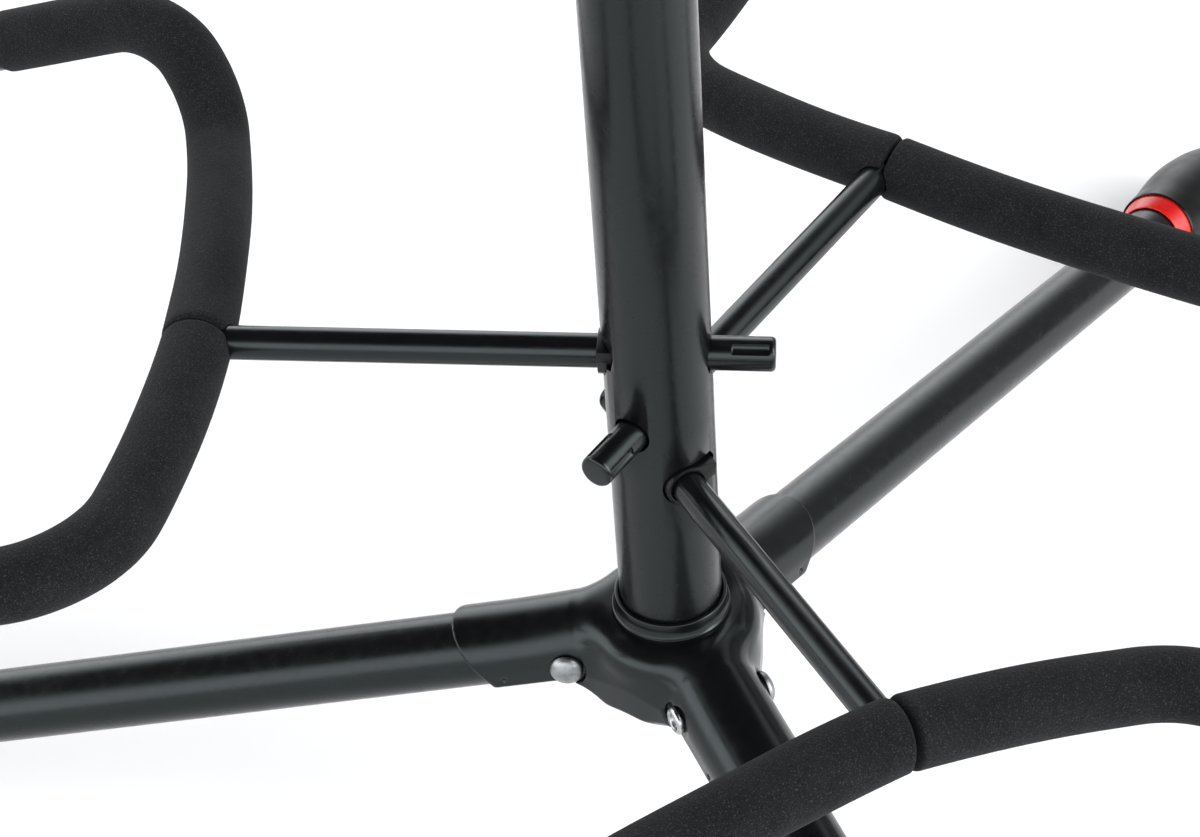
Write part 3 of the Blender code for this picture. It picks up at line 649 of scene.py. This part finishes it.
def make_hub():
    reach = 0.067
    step = 0.00055
    low = (COLUMN_FOOT.x - reach, COLUMN_FOOT.y - 0.076, 0.075)
    high = (COLUMN_FOOT.x + reach, COLUMN_FOOT.y + 0.045, 0.115)
    piece(sculpted("hub", low, high, step, hub_field), "hub_casting", CAST)

    bore = COLUMN_RADIUS + CLEARANCE
    collar = rounded(((bore, HUB_TOP - 0.0060), (bore, HUB_TOP, 0.0005), (0.0176, HUB_TOP, 0.0011),
                      (0.0176, HUB_TOP - 0.0034, 0.0020), (0.0183, HUB_TOP - 0.0050, 0.0006),
                      (0.0187, HUB_TOP - 0.0053, 0.0003), (0.0187, HUB_TOP - 0.0080),
                      (bore, HUB_TOP - 0.0080)))
    piece(turned("collar", collar, sides=160), "hub_casting", CAST, "fine_hub_collar")

    top = BOSS_BOTTOM - CLEARANCE
    flange = spun("flange", ((0.0, top), (0.0183, top, 0.0004), (0.0183, top - 0.0020, 0.0008),
                             (0.0085, top - 0.0022), (0.0, top - 0.0022)), sides=96)
    head = spun("head", ((0.0, top - 0.0020), (0.0075, top - 0.0020), (0.0075, top - 0.0073),
                         (0.0, top - 0.0073)), sides=6)
    chamfer = spun("chamfer", ((0.0, top), (0.0085, top), (0.0085, top - 0.0064, 0.0006),
                               (0.0066, top - 0.0074, 0.0004), (0.0, top - 0.0074)))
    head = combine(head, [chamfer], "INTERSECT")
    shank = cylinder("shank", 0.0039, on_axis(top - 0.001), on_axis(0.1070))
    screw = combine(flange, [head, shank], "UNION")
    piece(smooth(screw, 30.0), "hub_screw", BRIGHT)

    inside = COLUMN_RADIUS - COLUMN_WALL - CLEARANCE
    plug = rounded(((inside, 0.1085, 0.001), (inside, 0.0890, 0.0006), (0.0042, 0.0890, 0.0006),
                    (0.0042, 0.1085, 0.0006)))
    piece(turned("plug", plug, sides=64), "column_plug", ZINC)


# ---- legs ----
# The rubber foot's radius at distances along the leg.
BOOT_PROFILE = ((0.3600, 0.0163), (0.3640, 0.0166), (0.3696, 0.0170), (0.3792, 0.0184), (0.3860, 0.0191),
                (0.3934, 0.0194), (0.4000, 0.0191), (0.4055, 0.0187), (0.4110, 0.0180), (0.4165, 0.0169),
                (0.4232, 0.0146), (0.4275, 0.0117), (0.4302, 0.0075), (0.4314, 0.0030), (0.4316, 0.0))


def curve_through(points, count):
    """Points of a smooth curve through the given ones, evenly spread by their numbers."""
    p = np.array(points, float)
    p = np.vstack([2 * p[0] - p[1], p, 2 * p[-1] - p[-2]])
    out = []
    for u in np.linspace(0.0, len(points) - 1 - 1e-9, count):
        i, t = int(u), u - int(u)
        a, b, c, d = p[i:i + 4]
        out.append(0.5 * (2 * b + (c - a) * t + (2 * a - 5 * b + 4 * c - d) * t ** 2
                          + (3 * b - a - 3 * c + d) * t ** 3))
    return np.array(out)


def make_leg(number, azimuth):
    place = leg_frame(azimuth)
    side, along = (place.to_3x3().col[k] for k in (0, 2))
    pivot = place.translation + along * LEG_PIVOT
    inside = LEG_RADIUS - LEG_WALL
    inner_end = [(LEG_RADIUS * math.cos(a), LEG_PIVOT - LEG_RADIUS * math.sin(a))
                 for a in np.linspace(0.0, math.acos(inside / LEG_RADIUS), 9)]
    outline = [(LEG_RADIUS, LEG_END, 0.0005)] + inner_end + [(inside, LEG_END, 0.0004)]
    tube = turned("leg", divided(rounded(outline), 0.02), place, sides=128)
    hole = cylinder("hole", BOLT_RADIUS + CLEARANCE, pivot - side * 0.02, pivot + side * 0.02, 48)
    combine(tube, [hole])
    piece(smooth(tube, 30.0), f"leg_tube_{number}", POWDER)

    bore = LEG_RADIUS + CLEARANCE
    band = rounded(((0.0131, 0.3522, 0.0006), (0.0153, 0.3590, 0.0009), (0.0158, 0.3626, 0.0003),
                    (bore, 0.3626), (bore, 0.3522, 0.0004)))
    piece(turned("band", band, place), f"foot_band_{number}", RED)

    outer = curve_through([(z, r) for z, r in BOOT_PROFILE], 90)[:, ::-1]
    lip = rounded(((0.01560, 0.3600, 0.0), (0.0159, 0.3592, 0.0002), (0.0163, 0.3600, 0.0)), False)
    socket = [(0.0, LEG_END + CLEARANCE), (bore, LEG_END + CLEARANCE), (bore, 0.3633), (0.01595, 0.3633)]
    profile = np.vstack([outer[::-1], lip[::-1], np.array(socket)[::-1]])
    profile[0, 0] = 0.0
    boot = turned("boot", profile, place, sides=128, closed=False)
    press_on_floor(boot)
    piece(boot, f"rubber_foot_{number}", RUBBER)


def press_on_floor(obj, edge=0.0008):
    """Flattens what would be below the floor, with a soft edge of that height round the flat."""
    for vertex in obj.data.vertices:
        z = vertex.co.z
        if z < edge:
            vertex.co.z = max(0.0, edge * (1 + math.tanh((z - edge) / edge)))


def make_pivot_bolt(number, azimuth):
    place = leg_frame(azimuth)
    side, up, along = (place.to_3x3().col[k] for k in range(3))
    pivot = place.translation + along * LEG_PIVOT
    face, tip = SHROUD_HALF_WIDTH + CLEARANCE, -0.0125
    dome = [(0.0053 * math.sin(a), face + 0.0004 + 0.0028 * math.cos(a))
            for a in np.linspace(0.0, math.pi / 2, 24)]
    shank = rounded(((0.0053, face, 0.0003), (BOLT_RADIUS, face), (BOLT_RADIUS, tip, 0.0004), (0.0, tip)),
                    False)
    head = turned("bolt", np.vstack([dome, shank]), matrix_of(pivot, up, side.cross(up), side), 64, False)
    piece(head, f"pivot_bolt_{number}", ZINC)

    nut = ((0.0, face + 0.0007), (0.0017, face + 0.0007, 0.0003), (0.0019, face + 0.0003, 0.0002),
           (0.0025, face + 0.0003, 0.0002), (0.0027, face + 0.0014, 0.0004), (0.0036, face + 0.0018, 0.0006),
           (0.0045, face + 0.0010, 0.0004), (0.0045, face, 0.0002), (BOLT_RADIUS, face),
           (BOLT_RADIUS, -tip + CLEARANCE), (0.0, -tip + CLEARANCE))
    piece(spun("nut", nut, matrix_of(pivot, up, (-side).cross(up), -side)), f"pivot_nut_{number}", BRIGHT)


# ---- column ----
EAR_REACH = 0.0088                         # from the rod's axis to the end of the bush's ear
GROOVE_TURNS = (42.0, 160.0)               # where a rod's two key slots lie round its inner end, degrees
EAR_TURN = Matrix.Rotation(math.radians(-12.0), 4, "Z")
BUSH_SWING = 10.5                          # the roll that the holes leave room for, either way
BUSH_LOW, BUSH_HIGH = 0.0118, 0.0170       # along the rod, from the column's axis


def bush_outline(grow=0.0, swing=0.0):
    """A bush's face: round below, its top running level out to an ear.  Swing is room to turn either way."""
    r, end = BUSH_RADIUS + grow, EAR_REACH + grow
    round_part = np.linspace(math.radians(90) + swing, math.radians(342) - swing, 40)
    points = [(r * math.cos(a), r * math.sin(a)) for a in round_part]
    back = Matrix.Rotation(-swing, 2)
    points += [tuple(back @ Vector(corner)) for corner in ((r * 0.99, 0.0012 - grow), (end, 0.0026 - grow))]
    for turn in np.linspace(-swing, swing, 5 if swing else 1):
        points.append(tuple(Matrix.Rotation(turn, 2) @ Vector((end, r))))
    return points


def make_column():
    inside = COLUMN_RADIUS - COLUMN_WALL
    outline = np.array(((COLUMN_RADIUS, COLUMN_TOP), (COLUMN_RADIUS, COLUMN_BOTTOM),
                        (inside, COLUMN_BOTTOM), (inside, COLUMN_TOP)))
    tube = turned("column", divided(outline, 0.02), sides=160)
    cutters = []
    for index in range(len(ROD_HEIGHTS)):
        place = rod_frame(index)
        origin, along = place.translation, place.to_3x3().col[2]
        cutters.append(prism("arm_hole", bush_outline(0.0006, math.radians(BUSH_SWING)), 0.03,
                             place @ EAR_TURN @ Matrix.Translation((0.0, 0.0, 0.015))))
        cutters.append(cylinder("stub_hole", ROD_RADIUS + 0.0009, origin, origin - along * 0.03, 64))
    combine(tube, cutters)
    piece(eased(tube, 0.00035, 32.0), "lower_column", POWDER)


def make_rod(index):
    place = rod_frame(index)
    origin, number = place.translation, index + 1
    side, up, along = (place.to_3x3().col[k] for k in range(3))
    end = ROD_REACH - ROD_RADIUS - CLEARANCE
    rod = spun("rod", ((0.0, end), (ROD_RADIUS, end, 0.0003), (ROD_RADIUS, -ROD_STUB, 0.0016),
                       (0.0, -ROD_STUB)), place, 96, 8)
    grooves = []
    for roll in GROOVE_TURNS:
        a = math.radians(roll)
        start = origin + (side * math.cos(a) + up * math.sin(a)) * (ROD_RADIUS + 0.0011) - along * 0.0216
        grooves.append(spun("groove", ((0.0, 0.0), (0.0022, 0.0, 0.0007), (0.0022, 0.0113, 0.0009),
                                       (0.0, 0.0113)), matrix_of(start, side, -up, -along), 48))
    combine(rod, grooves)
    piece(eased(rod, 0.0002, 40.0), f"cradle_rod_{number}", ROD_COAT)

    bush = prism("bush", bush_outline(), BUSH_HIGH - BUSH_LOW,
                 place @ EAR_TURN @ Matrix.Translation((0.0, 0.0, (BUSH_LOW + BUSH_HIGH) / 2)))
    bore = cylinder("bore", ROD_RADIUS + CLEARANCE, origin, origin + along * 0.03, 64)
    combine(bush, [bore])
    # The bevels take the bright rim colour, a painted highlight along the bush's edges.
    piece(eased(bush, 0.0003, 35.0, rim_slot=1), f"rod_bush_{number}", PLASTIC)
    bush.data.materials.append(PAINTED_RIM_HIGHLIGHT)


# ---- cradles ----
SEAM_OFFSETS = (0.0010, -0.0015, 0.0020)  # where the two sleeves meet, towards the short side of the weld
SEAM_HALF_GAPS = (0.0004, 0.0007, 0.0010)


def cradle_path(side, sign):
    """Points every half millimetre along one side of a cradle's bar, in the rod's frame."""
    corner = math.radians(side["headings"][2] - side["headings"][1]) * side["corner_radius"]
    stops = (0.0, side["run"], side["run"] + corner, side["run"] + corner + side["arm"])
    rise_stops = (0.9 * stops[1], stops[1] + 0.25 * corner, stops[1] + 0.75 * corner, stops[2] + 0.025)
    low, mid, high = side["rises"]
    step = 0.0005
    travelled = (np.arange(round(stops[3] / step)) + 0.5) * step
    heading = np.radians(np.interp(travelled, stops, side["headings"]))
    rise = np.radians(np.interp(travelled, rise_stops, (low, mid, mid, high)))
    moves = step * np.stack([sign * np.cos(heading) * np.cos(rise), np.sin(rise),
                             np.sin(heading) * np.cos(rise)], axis=1)
    return np.vstack([[(0.0, 0.0, ROD_REACH)], np.array((0.0, 0.0, ROD_REACH)) + np.cumsum(moves, axis=0)])


def softened(points, reach):
    """The path with its kinks smoothed over about that many points."""
    padded = np.vstack([np.repeat(points[:1], reach, 0), points, np.repeat(points[-1:], reach, 0)])
    kernel = np.hanning(2 * reach + 1)
    kernel /= kernel.sum()
    out = np.stack([np.convolve(padded[:, k], kernel, "valid") for k in range(3)], axis=1)
    out[0], out[-1] = points[0], points[-1]
    return out


def placed(place, points):
    m = np.array(place)
    return points @ m[:3, :3].T + m[:3, 3]


def make_cradle(index):
    place, number = rod_frame(index), index + 1
    short_path, long_path = cradle_path(SHORT_SIDE, 1.0), cradle_path(LONG_SIDE, -1.0)
    line = placed(place, np.vstack([long_path[::-1], short_path[1:]]))
    length = np.linalg.norm(np.diff(line, axis=0), axis=1).sum()
    weld = np.linalg.norm(np.diff(long_path, axis=0), axis=1).sum()
    bar = bar_profile(ROD_RADIUS, 0.0, length - 0.0001, 0.0025)
    piece(piped("bar", line, bar, 40, False), f"cradle_bar_{number}", ROD_COAT)

    seam, half = weld + SEAM_OFFSETS[index], SEAM_HALF_GAPS[index]
    cap = CAP_DEPTH + 0.0008
    for label, low, high in (("long", cap, seam - half), ("short", seam + half, length - cap)):
        make_foam(f"foam_{label}_{number}", line, low, high, place, seed=10 * number + len(label))
    for label, tip, before in (("long", line[0], line[8]), ("short", line[-1], line[-9])):
        make_bar_cap(f"bar_cap_{label}_{number}", Vector(tip), Vector(tip - before).normalized())


def make_foam(node, line, low, high, place, seed):
    """A foam sleeve over the bar: uneven by a hair, rounded at its cut ends."""
    rng = np.random.default_rng(seed)
    waves = [(rng.uniform(20, 110), rng.integers(0, 4), rng.uniform(0, math.tau), rng.uniform(0.3, 1.0))
             for _ in range(9)]

    def ripple(s, turn, radius):
        if radius < 0.8 * FOAM_RADIUS:
            return 0.0
        return 0.00006 * sum(w * np.sin(rate * s + spin * turn + phase) for rate, spin, phase, w in waves)

    bore = ROD_RADIUS + CLEARANCE
    profile = rounded(((FOAM_RADIUS, high, 0.0016), (FOAM_RADIUS, low, 0.0016), (bore, low, 0.0005),
                       (bore, high, 0.0005)), True, 6)
    profile = divided(profile, 0.0016)
    sleeve = piped("foam", line, profile, 64, True, ripple)
    origin, along = place.translation, place.to_3x3().col[2]
    room = cylinder("room", ROD_RADIUS + CLEARANCE, origin + along * 0.1, origin + along * ROD_REACH, 48)
    combine(sleeve, [room])
    piece(smooth(sleeve, 50.0), node, FOAM)


def make_bar_cap(node, tip, axis):
    across = axis.orthogonal().normalized()
    bore = ROD_RADIUS + CLEARANCE
    corners = ((0.0, 0.0036), (0.0040, 0.0036, 0.003), (0.0093, 0.0010, 0.003),
               (0.0094, -CAP_DEPTH, 0.0006), (bore, -CAP_DEPTH, 0.0003), (bore, CLEARANCE), (0.0, CLEARANCE))
    piece(spun("cap", corners, matrix_of(tip, across, axis.cross(across), axis), steps=8), node, PLASTIC)


# ---- clutch and mast ----
def knob_frame():
    out = outward(KNOB_AZIMUTH)
    return matrix_of(on_axis(KNOB_Z), sideways(KNOB_AZIMUTH), Vector((0.0, 0.0, 1.0)), out)


def clutch_field(x, y, z):
    """The clutch: a fluted collar with a lip at each end and a boss for the clamp's screw."""
    px, py = x - COLUMN_FOOT.x, y - COLUMN_FOOT.y
    radius, turn = np.hypot(px, py), np.arctan2(py, px)
    up = z - CLUTCH_BOTTOM
    body_radius = 0.0215 + 0.0009 * np.clip((up - 0.036) / 0.006, 0.0, 1.0)
    fluted = np.clip((0.0335 - np.abs(up - 0.0165) * 2.4) / 0.004, 0, 1)
    flutes = 0.0006 * np.cos(36 * turn) * fluted
    body = soft_max(radius - body_radius - flutes, np.abs(z - (CLUTCH_TOP + CLUTCH_BOTTOM) / 2)
                    - (CLUTCH_TOP - CLUTCH_BOTTOM) / 2, 0.0030)
    v, w, u = local_to(knob_frame(), x, y, z)
    from_screw = np.hypot(v, w)
    boss = soft_max(from_screw - 0.0092, np.abs(u - 0.0225) - 0.0090, 0.0016)
    solid = soft_min(body, boss, 0.006)
    bore = np.where(z < COLUMN_TOP + CLEARANCE, COLUMN_RADIUS, MAST_RADIUS) + CLEARANCE
    solid = soft_max(solid, bore - radius, 0.0006)
    solid = soft_max(solid, np.maximum(0.0033 - from_screw, -u), 0.0004)
    seat = np.maximum(np.maximum(np.abs(v) - 0.0045, np.abs(w) - 0.0060), np.abs(u - 0.0125) - 0.0060)
    return np.maximum(solid, -seat)


def knob_field(x, y, z):
    """Five rounded lobes round a waisted neck, dished on the face."""
    v, w, u = local_to(knob_frame(), x, y, z)
    radius, turn = np.hypot(v, w), np.arctan2(w, v)
    edge = 0.0143 + 0.0020 * np.cos(5 * turn)
    head = soft_max((radius - edge) / 1.15, np.abs(u - 0.0435) - 0.0060, 0.0042)
    neck = soft_max(radius - 0.0072 - 0.0016 * np.clip((u - 0.032) / 0.008, 0.0, 1.0), 0.0320 - u, 0.001)
    neck = np.maximum(neck, u - 0.044)
    solid = soft_min(head, neck, 0.0025)
    dish = 0.0530 - np.hypot(radius, u - 0.0995)
    solid = soft_max(solid, dish, 0.0012)
    return np.maximum(solid, -np.maximum(radius - 0.0033, u - 0.0443))


def make_clutch():
    step = 0.0007
    middle = COLUMN_FOOT
    low = (middle.x - 0.026, middle.y - 0.035, CLUTCH_BOTTOM - 0.003)
    high = (middle.x + 0.038, middle.y + 0.026, CLUTCH_TOP + 0.003)
    piece(sculpted("clutch", low, high, step, clutch_field), "clutch_collar", PLASTIC)

    place = knob_frame()
    center = place @ Vector((0.0, 0.0, 0.0435))
    reach = 0.024
    low = tuple(c - reach for c in center)
    high = tuple(c + reach for c in center)
    piece(sculpted("knob", low, high, step, knob_field), "clamp_knob", PLASTIC)

    shoe = prism("shoe", ((-0.0042, -0.0057), (0.0042, -0.0057), (0.0042, 0.0057), (-0.0042, 0.0057)),
                 0.0022, place @ Matrix.Translation((0.0, 0.0, 0.0150)))
    combine(shoe, [cylinder("mast_room", MAST_RADIUS + CLEARANCE, on_axis(0.5), on_axis(0.62), 128)])
    piece(eased(shoe, 0.0003, 35.0), "clutch_shoe", PLASTIC)

    # The screw's thread is cut as rings; it is 6 mm across with a 1 mm pitch.
    start, stop, pitch = 0.0150 + 0.0011 + CLEARANCE, 0.0440, 0.0010
    crests = [(0.0, stop), (0.0026, stop)]
    for k in range(round((stop - start) / pitch)):
        top = stop - k * pitch
        crests += [(0.0030, top - 0.40 * pitch), (0.0030, top - 0.55 * pitch), (0.00245, top - 0.95 * pitch)]
    crests += [(0.0024, start), (0.0, start)]
    piece(turned("screw", crests, place, 48, False), "clamp_screw", BRIGHT)


def make_mast():
    inside = MAST_RADIUS - MAST_WALL
    tube = turned("mast", rounded(((MAST_RADIUS, MAST_TOP, 0.0004), (MAST_RADIUS, MAST_BOTTOM, 0.0004),
                                   (inside, MAST_BOTTOM, 0.0003), (inside, MAST_TOP, 0.0003))), sides=128)
    piece(tube, "upper_mast", POWDER)
    outer, low = COLUMN_RADIUS - COLUMN_WALL - CLEARANCE, MAST_BOTTOM - CLEARANCE
    bush = ((0.0, low + 0.014), (inside - CLEARANCE, low + 0.014, 0.001), (inside - CLEARANCE, low),
            (outer, low, 0.0006), (outer, low - 0.012, 0.001), (0.0, low - 0.012))
    piece(spun("bush", bush), "slide_bush", PLASTIC)


# ---- head and neck forks ----
def head_field(x, y, z):
    """A cast cap on the mast with a boss for each neck arm, blended in."""
    radius = np.hypot(x - COLUMN_FOOT.x, y - COLUMN_FOOT.y)
    low, high = ARM_SOCKET_Z - 0.022, MAST_TOP + 0.0040
    taper = 0.0193 - 0.0028 * np.clip((ARM_SOCKET_Z - 0.010 - z) / 0.012, 0.0, 1.0) ** 1.5
    body = soft_max(radius - taper, np.abs(z - (low + high) / 2) - (high - low) / 2, 0.0032)
    sockets = np.full_like(radius, 1.0)
    for azimuth in LEG_AZIMUTHS:
        out = outward(azimuth + COLUMN_TURN)
        place = matrix_of(on_axis(ARM_SOCKET_Z), sideways(azimuth + COLUMN_TURN), Vector((0, 0, 1)), out)
        v, w, u = local_to(place, x, y, z)
        from_arm = np.hypot(v, w)
        boss = soft_max(from_arm - 0.0086 + 0.0008 * np.clip((u - 0.018) / 0.012, 0, 1), u - 0.0298, 0.0016)
        body = soft_min(body, np.maximum(boss, -u), 0.006)
        sockets = np.minimum(sockets, np.maximum(from_arm - ROD_RADIUS - CLEARANCE, 0.0142 - u))
    body = soft_max(body, -sockets, 0.0005)
    return soft_max(body, MAST_RADIUS + CLEARANCE - radius, 0.0005)


def make_head():
    step = 0.0007
    low = (COLUMN_FOOT.x - 0.034, COLUMN_FOOT.y - 0.034, ARM_SOCKET_Z - 0.026)
    high = (COLUMN_FOOT.x + 0.034, COLUMN_FOOT.y + 0.026, MAST_TOP + 0.008)
    piece(sculpted("head", low, high, step, head_field), "head_casting", CAST)
    top, bore = MAST_TOP + 0.0040, MAST_RADIUS
    cap = ((0.0, top + 0.0042), (0.0100, top + 0.0040, 0.004), (0.0168, top + 0.0012, 0.0022),
           (0.0168, top + CLEARANCE, 0.0003), (bore, top + CLEARANCE), (bore, MAST_TOP + CLEARANCE),
           (0.0, MAST_TOP + CLEARANCE))
    piece(spun("cap", cap, sides=96, steps=8), "top_cap", PLASTIC)


def arm_path():
    """A neck arm: level out of the head, a rise, then level again."""
    slope, bend, rise, bend_start = math.radians(32.0), 0.022, 0.016, 0.036
    points = [(x, 0.0) for x in np.linspace(0.0145, bend_start, 30)]
    points += [(bend_start + bend * math.sin(t), bend * (1 - math.cos(t)))
               for t in np.linspace(0, slope, 20)[1:]]
    x, z = points[-1]
    run = rise / math.sin(slope)
    points += [(x + math.cos(slope) * run * k, z + rise * k) for k in np.linspace(0, 1, 30)[1:]]
    x, z = points[-1]
    corner = (x + bend * math.sin(slope), z + bend * (1 - math.cos(slope)))
    points += [(corner[0] - bend * math.sin(t), corner[1] - bend * (1 - math.cos(t)))
               for t in np.linspace(slope, 0, 20)[1:]]
    points += [(x, corner[1]) for x in np.linspace(corner[0], FORK_REACH - 0.0065, 20)[1:]]
    return np.array([(0.0, z, x) for x, z in points])


def fork_path():
    """The U of a neck fork from tip to tip, as sideways, up, outward."""
    half, corner, prong, rise_start, slope = 0.031, 0.012, 0.058, 0.024, math.radians(14.0)
    side = [(y, 0.0, 0.0) for y in np.linspace(0.0, half - corner, 20)]
    side += [(half - corner + corner * math.sin(t), 0.0, corner * (1 - math.cos(t)))
             for t in np.linspace(0, math.pi / 2, 24)[1:]]
    side += [(half, math.tan(slope) * max(0.0, out - rise_start), out)
             for out in np.linspace(corner, prong, 60)[1:]]
    side = np.array(side)
    other = side[:0:-1] * (-1.0, 1.0, 1.0)
    return softened(np.vstack([other, side]), 8)


def make_neck_fork(index):
    number = index + 1
    azimuth = LEG_AZIMUTHS[index] + COLUMN_TURN
    along, side, up = outward(azimuth), sideways(azimuth), Vector((0.0, 0.0, 1.0))
    place = matrix_of(on_axis(ARM_SOCKET_Z), side, up, along)
    path = arm_path()
    line = placed(place, path)
    length = path_frames(line)[0][-1]
    arm = bar_profile(ROD_RADIUS, 0.0, length, 0.0025)
    piece(piped("arm", line, arm, 48, False), f"neck_arm_{number}", ROD_COAT)

    height = path[-1][1]
    seat = place @ Matrix.Translation((0.0, height, 0.0))
    bore, end = ROD_RADIUS + CLEARANCE, FORK_REACH - 0.0052
    socket = ((0.0, end), (0.0088, end, 0.0012), (0.0088, end - 0.0050, 0.0006),
              (0.0080, end - 0.0058, 0.0006), (0.0080, end - 0.0130, 0.0006), (0.0088, end - 0.0138, 0.0006),
              (0.0088, end - 0.0188, 0.0012), (bore, end - 0.0188, 0.0004), (bore, end - 0.0010),
              (0.0, end - 0.0010))
    piece(spun("socket", socket, seat), f"fork_swivel_{number}", ZINC)

    base = seat @ Matrix.Translation((0.0, 0.0, FORK_REACH))
    line = placed(base, fork_path())
    length = path_frames(line)[0][-1]
    trim = 0.003
    fork = bar_profile(FORK_RADIUS, trim, length - trim, 0.002)
    piece(piped("fork", line, fork, 40, False), f"fork_frame_{number}", ROD_COAT)

    bore = FORK_RADIUS + CLEARANCE

    def ribs(s, _turn, radius):
        """Shallow rings near both tips, where the tube is gripped to pull it on."""
        if radius < 0.9 * PAD_RADIUS:
            return 0.0
        from_tip = min(s, length - s)
        return 0.0003 * math.cos(math.tau * from_tip / 0.0032) * (0.006 < from_tip < 0.026) - 0.0002

    pad = rounded(((0.0, length + 0.0002), (PAD_RADIUS, length + 0.0002, 0.0045),
                   (PAD_RADIUS, -0.0002, 0.0045), (0.0, -0.0002)), False, 8)
    core = rounded(((0.0, length - trim + CLEARANCE), (bore, length - trim + CLEARANCE),
                    (bore, trim - CLEARANCE), (0.0, trim - CLEARANCE)), False)
    sleeve = piped("pad", line, divided(pad, 0.0008, False), 48, False, ribs)
    inner = piped("core", line, divided(core, 0.002, False), 32, False)
    pivot = base.translation
    room = cylinder("room", 0.0095, pivot - along * 0.03, pivot - along * 0.0047, 64)
    combine(sleeve, [inner, room])
    piece(smooth(sleeve, 50.0), f"fork_pad_{number}", PAD_RUBBER)


# ---- studio ----
def area_light(name, place, target, size, watts):
    data = bpy.data.lights.new(name, "AREA")
    data.shape = "RECTANGLE"
    data.size, data.size_y = size
    data.energy = watts
    obj = bpy.data.objects.new(name, data)
    obj.location = place
    obj.rotation_euler = (target - place).to_track_quat("-Z", "Y").to_euler()
    bpy.context.scene.collection.objects.link(obj)


def make_studio():
    half, level = 6.0, -0.0002
    corners = [(-half, -half, level), (half, -half, level), (half, half, level), (-half, half, level)]
    floor = new_object("floor", corners, [(0, 1, 2, 3)])
    floor.data.materials.append(new_material("floor", (0.93, 0.93, 0.93), 0.9, specular=0.1)[0])

    world = bpy.data.worlds.new("studio")
    bpy.context.scene.world = world
    world.use_nodes = True
    tree = world.node_tree
    background = tree.nodes["Background"]
    background.inputs["Color"].default_value = (0.97, 0.98, 1.0, 1.0)
    direction = tree.nodes.new("ShaderNodeTexCoord")
    parts = tree.nodes.new("ShaderNodeSeparateXYZ")
    tree.links.new(direction.outputs["Generated"], parts.inputs["Vector"])
    # A white surround up to thirty degrees, dimmer at the horizon and dark overhead.
    upper = ramp(tree, parts.outputs["Z"], 3.6, 0.05, 0.50, 0.72)
    lower = ramp(tree, parts.outputs["Z"], 0.35, 1.0, 0.0, 0.20)
    # A dark card far off to the right, about in the direction of the far leg.
    around = math.radians(CAMERA_ANGLES[2])
    card = tree.nodes.new("ShaderNodeVectorMath")
    card.operation = "DOT_PRODUCT"
    toward = around + math.radians(40.0)
    tree.links.new(direction.outputs["Generated"], card.inputs[0])
    card.inputs[1].default_value = (math.cos(toward), math.sin(toward), 0.0)
    shade = ramp(tree, card.outputs["Value"], 1.0, 0.10, 0.70, 0.88)
    surround = added(tree, added(tree, upper, lower, "MULTIPLY"), shade, "MULTIPLY")
    tree.links.new(surround, background.inputs["Strength"])

    # The key light is low and to the right of the camera, seen from above.
    beside = around - math.radians(90.0 - 72.0)
    key = COLUMN_FOOT + Vector((1.5 * math.cos(beside), 1.5 * math.sin(beside), 0.9))
    area_light("key", key, on_axis(0.15), (0.5, 1.6), 20.0)


make_hub()
for leg_number, leg_azimuth in enumerate(LEG_AZIMUTHS, start=1):
    make_leg(leg_number, leg_azimuth)
    make_pivot_bolt(leg_number, leg_azimuth)
make_column()
for cradle_index in range(len(ROD_HEIGHTS)):
    make_rod(cradle_index)
    make_cradle(cradle_index)
make_clutch()
make_mast()
make_head()
for fork_index in range(len(LEG_AZIMUTHS)):
    make_neck_fork(fork_index)
make_studio()
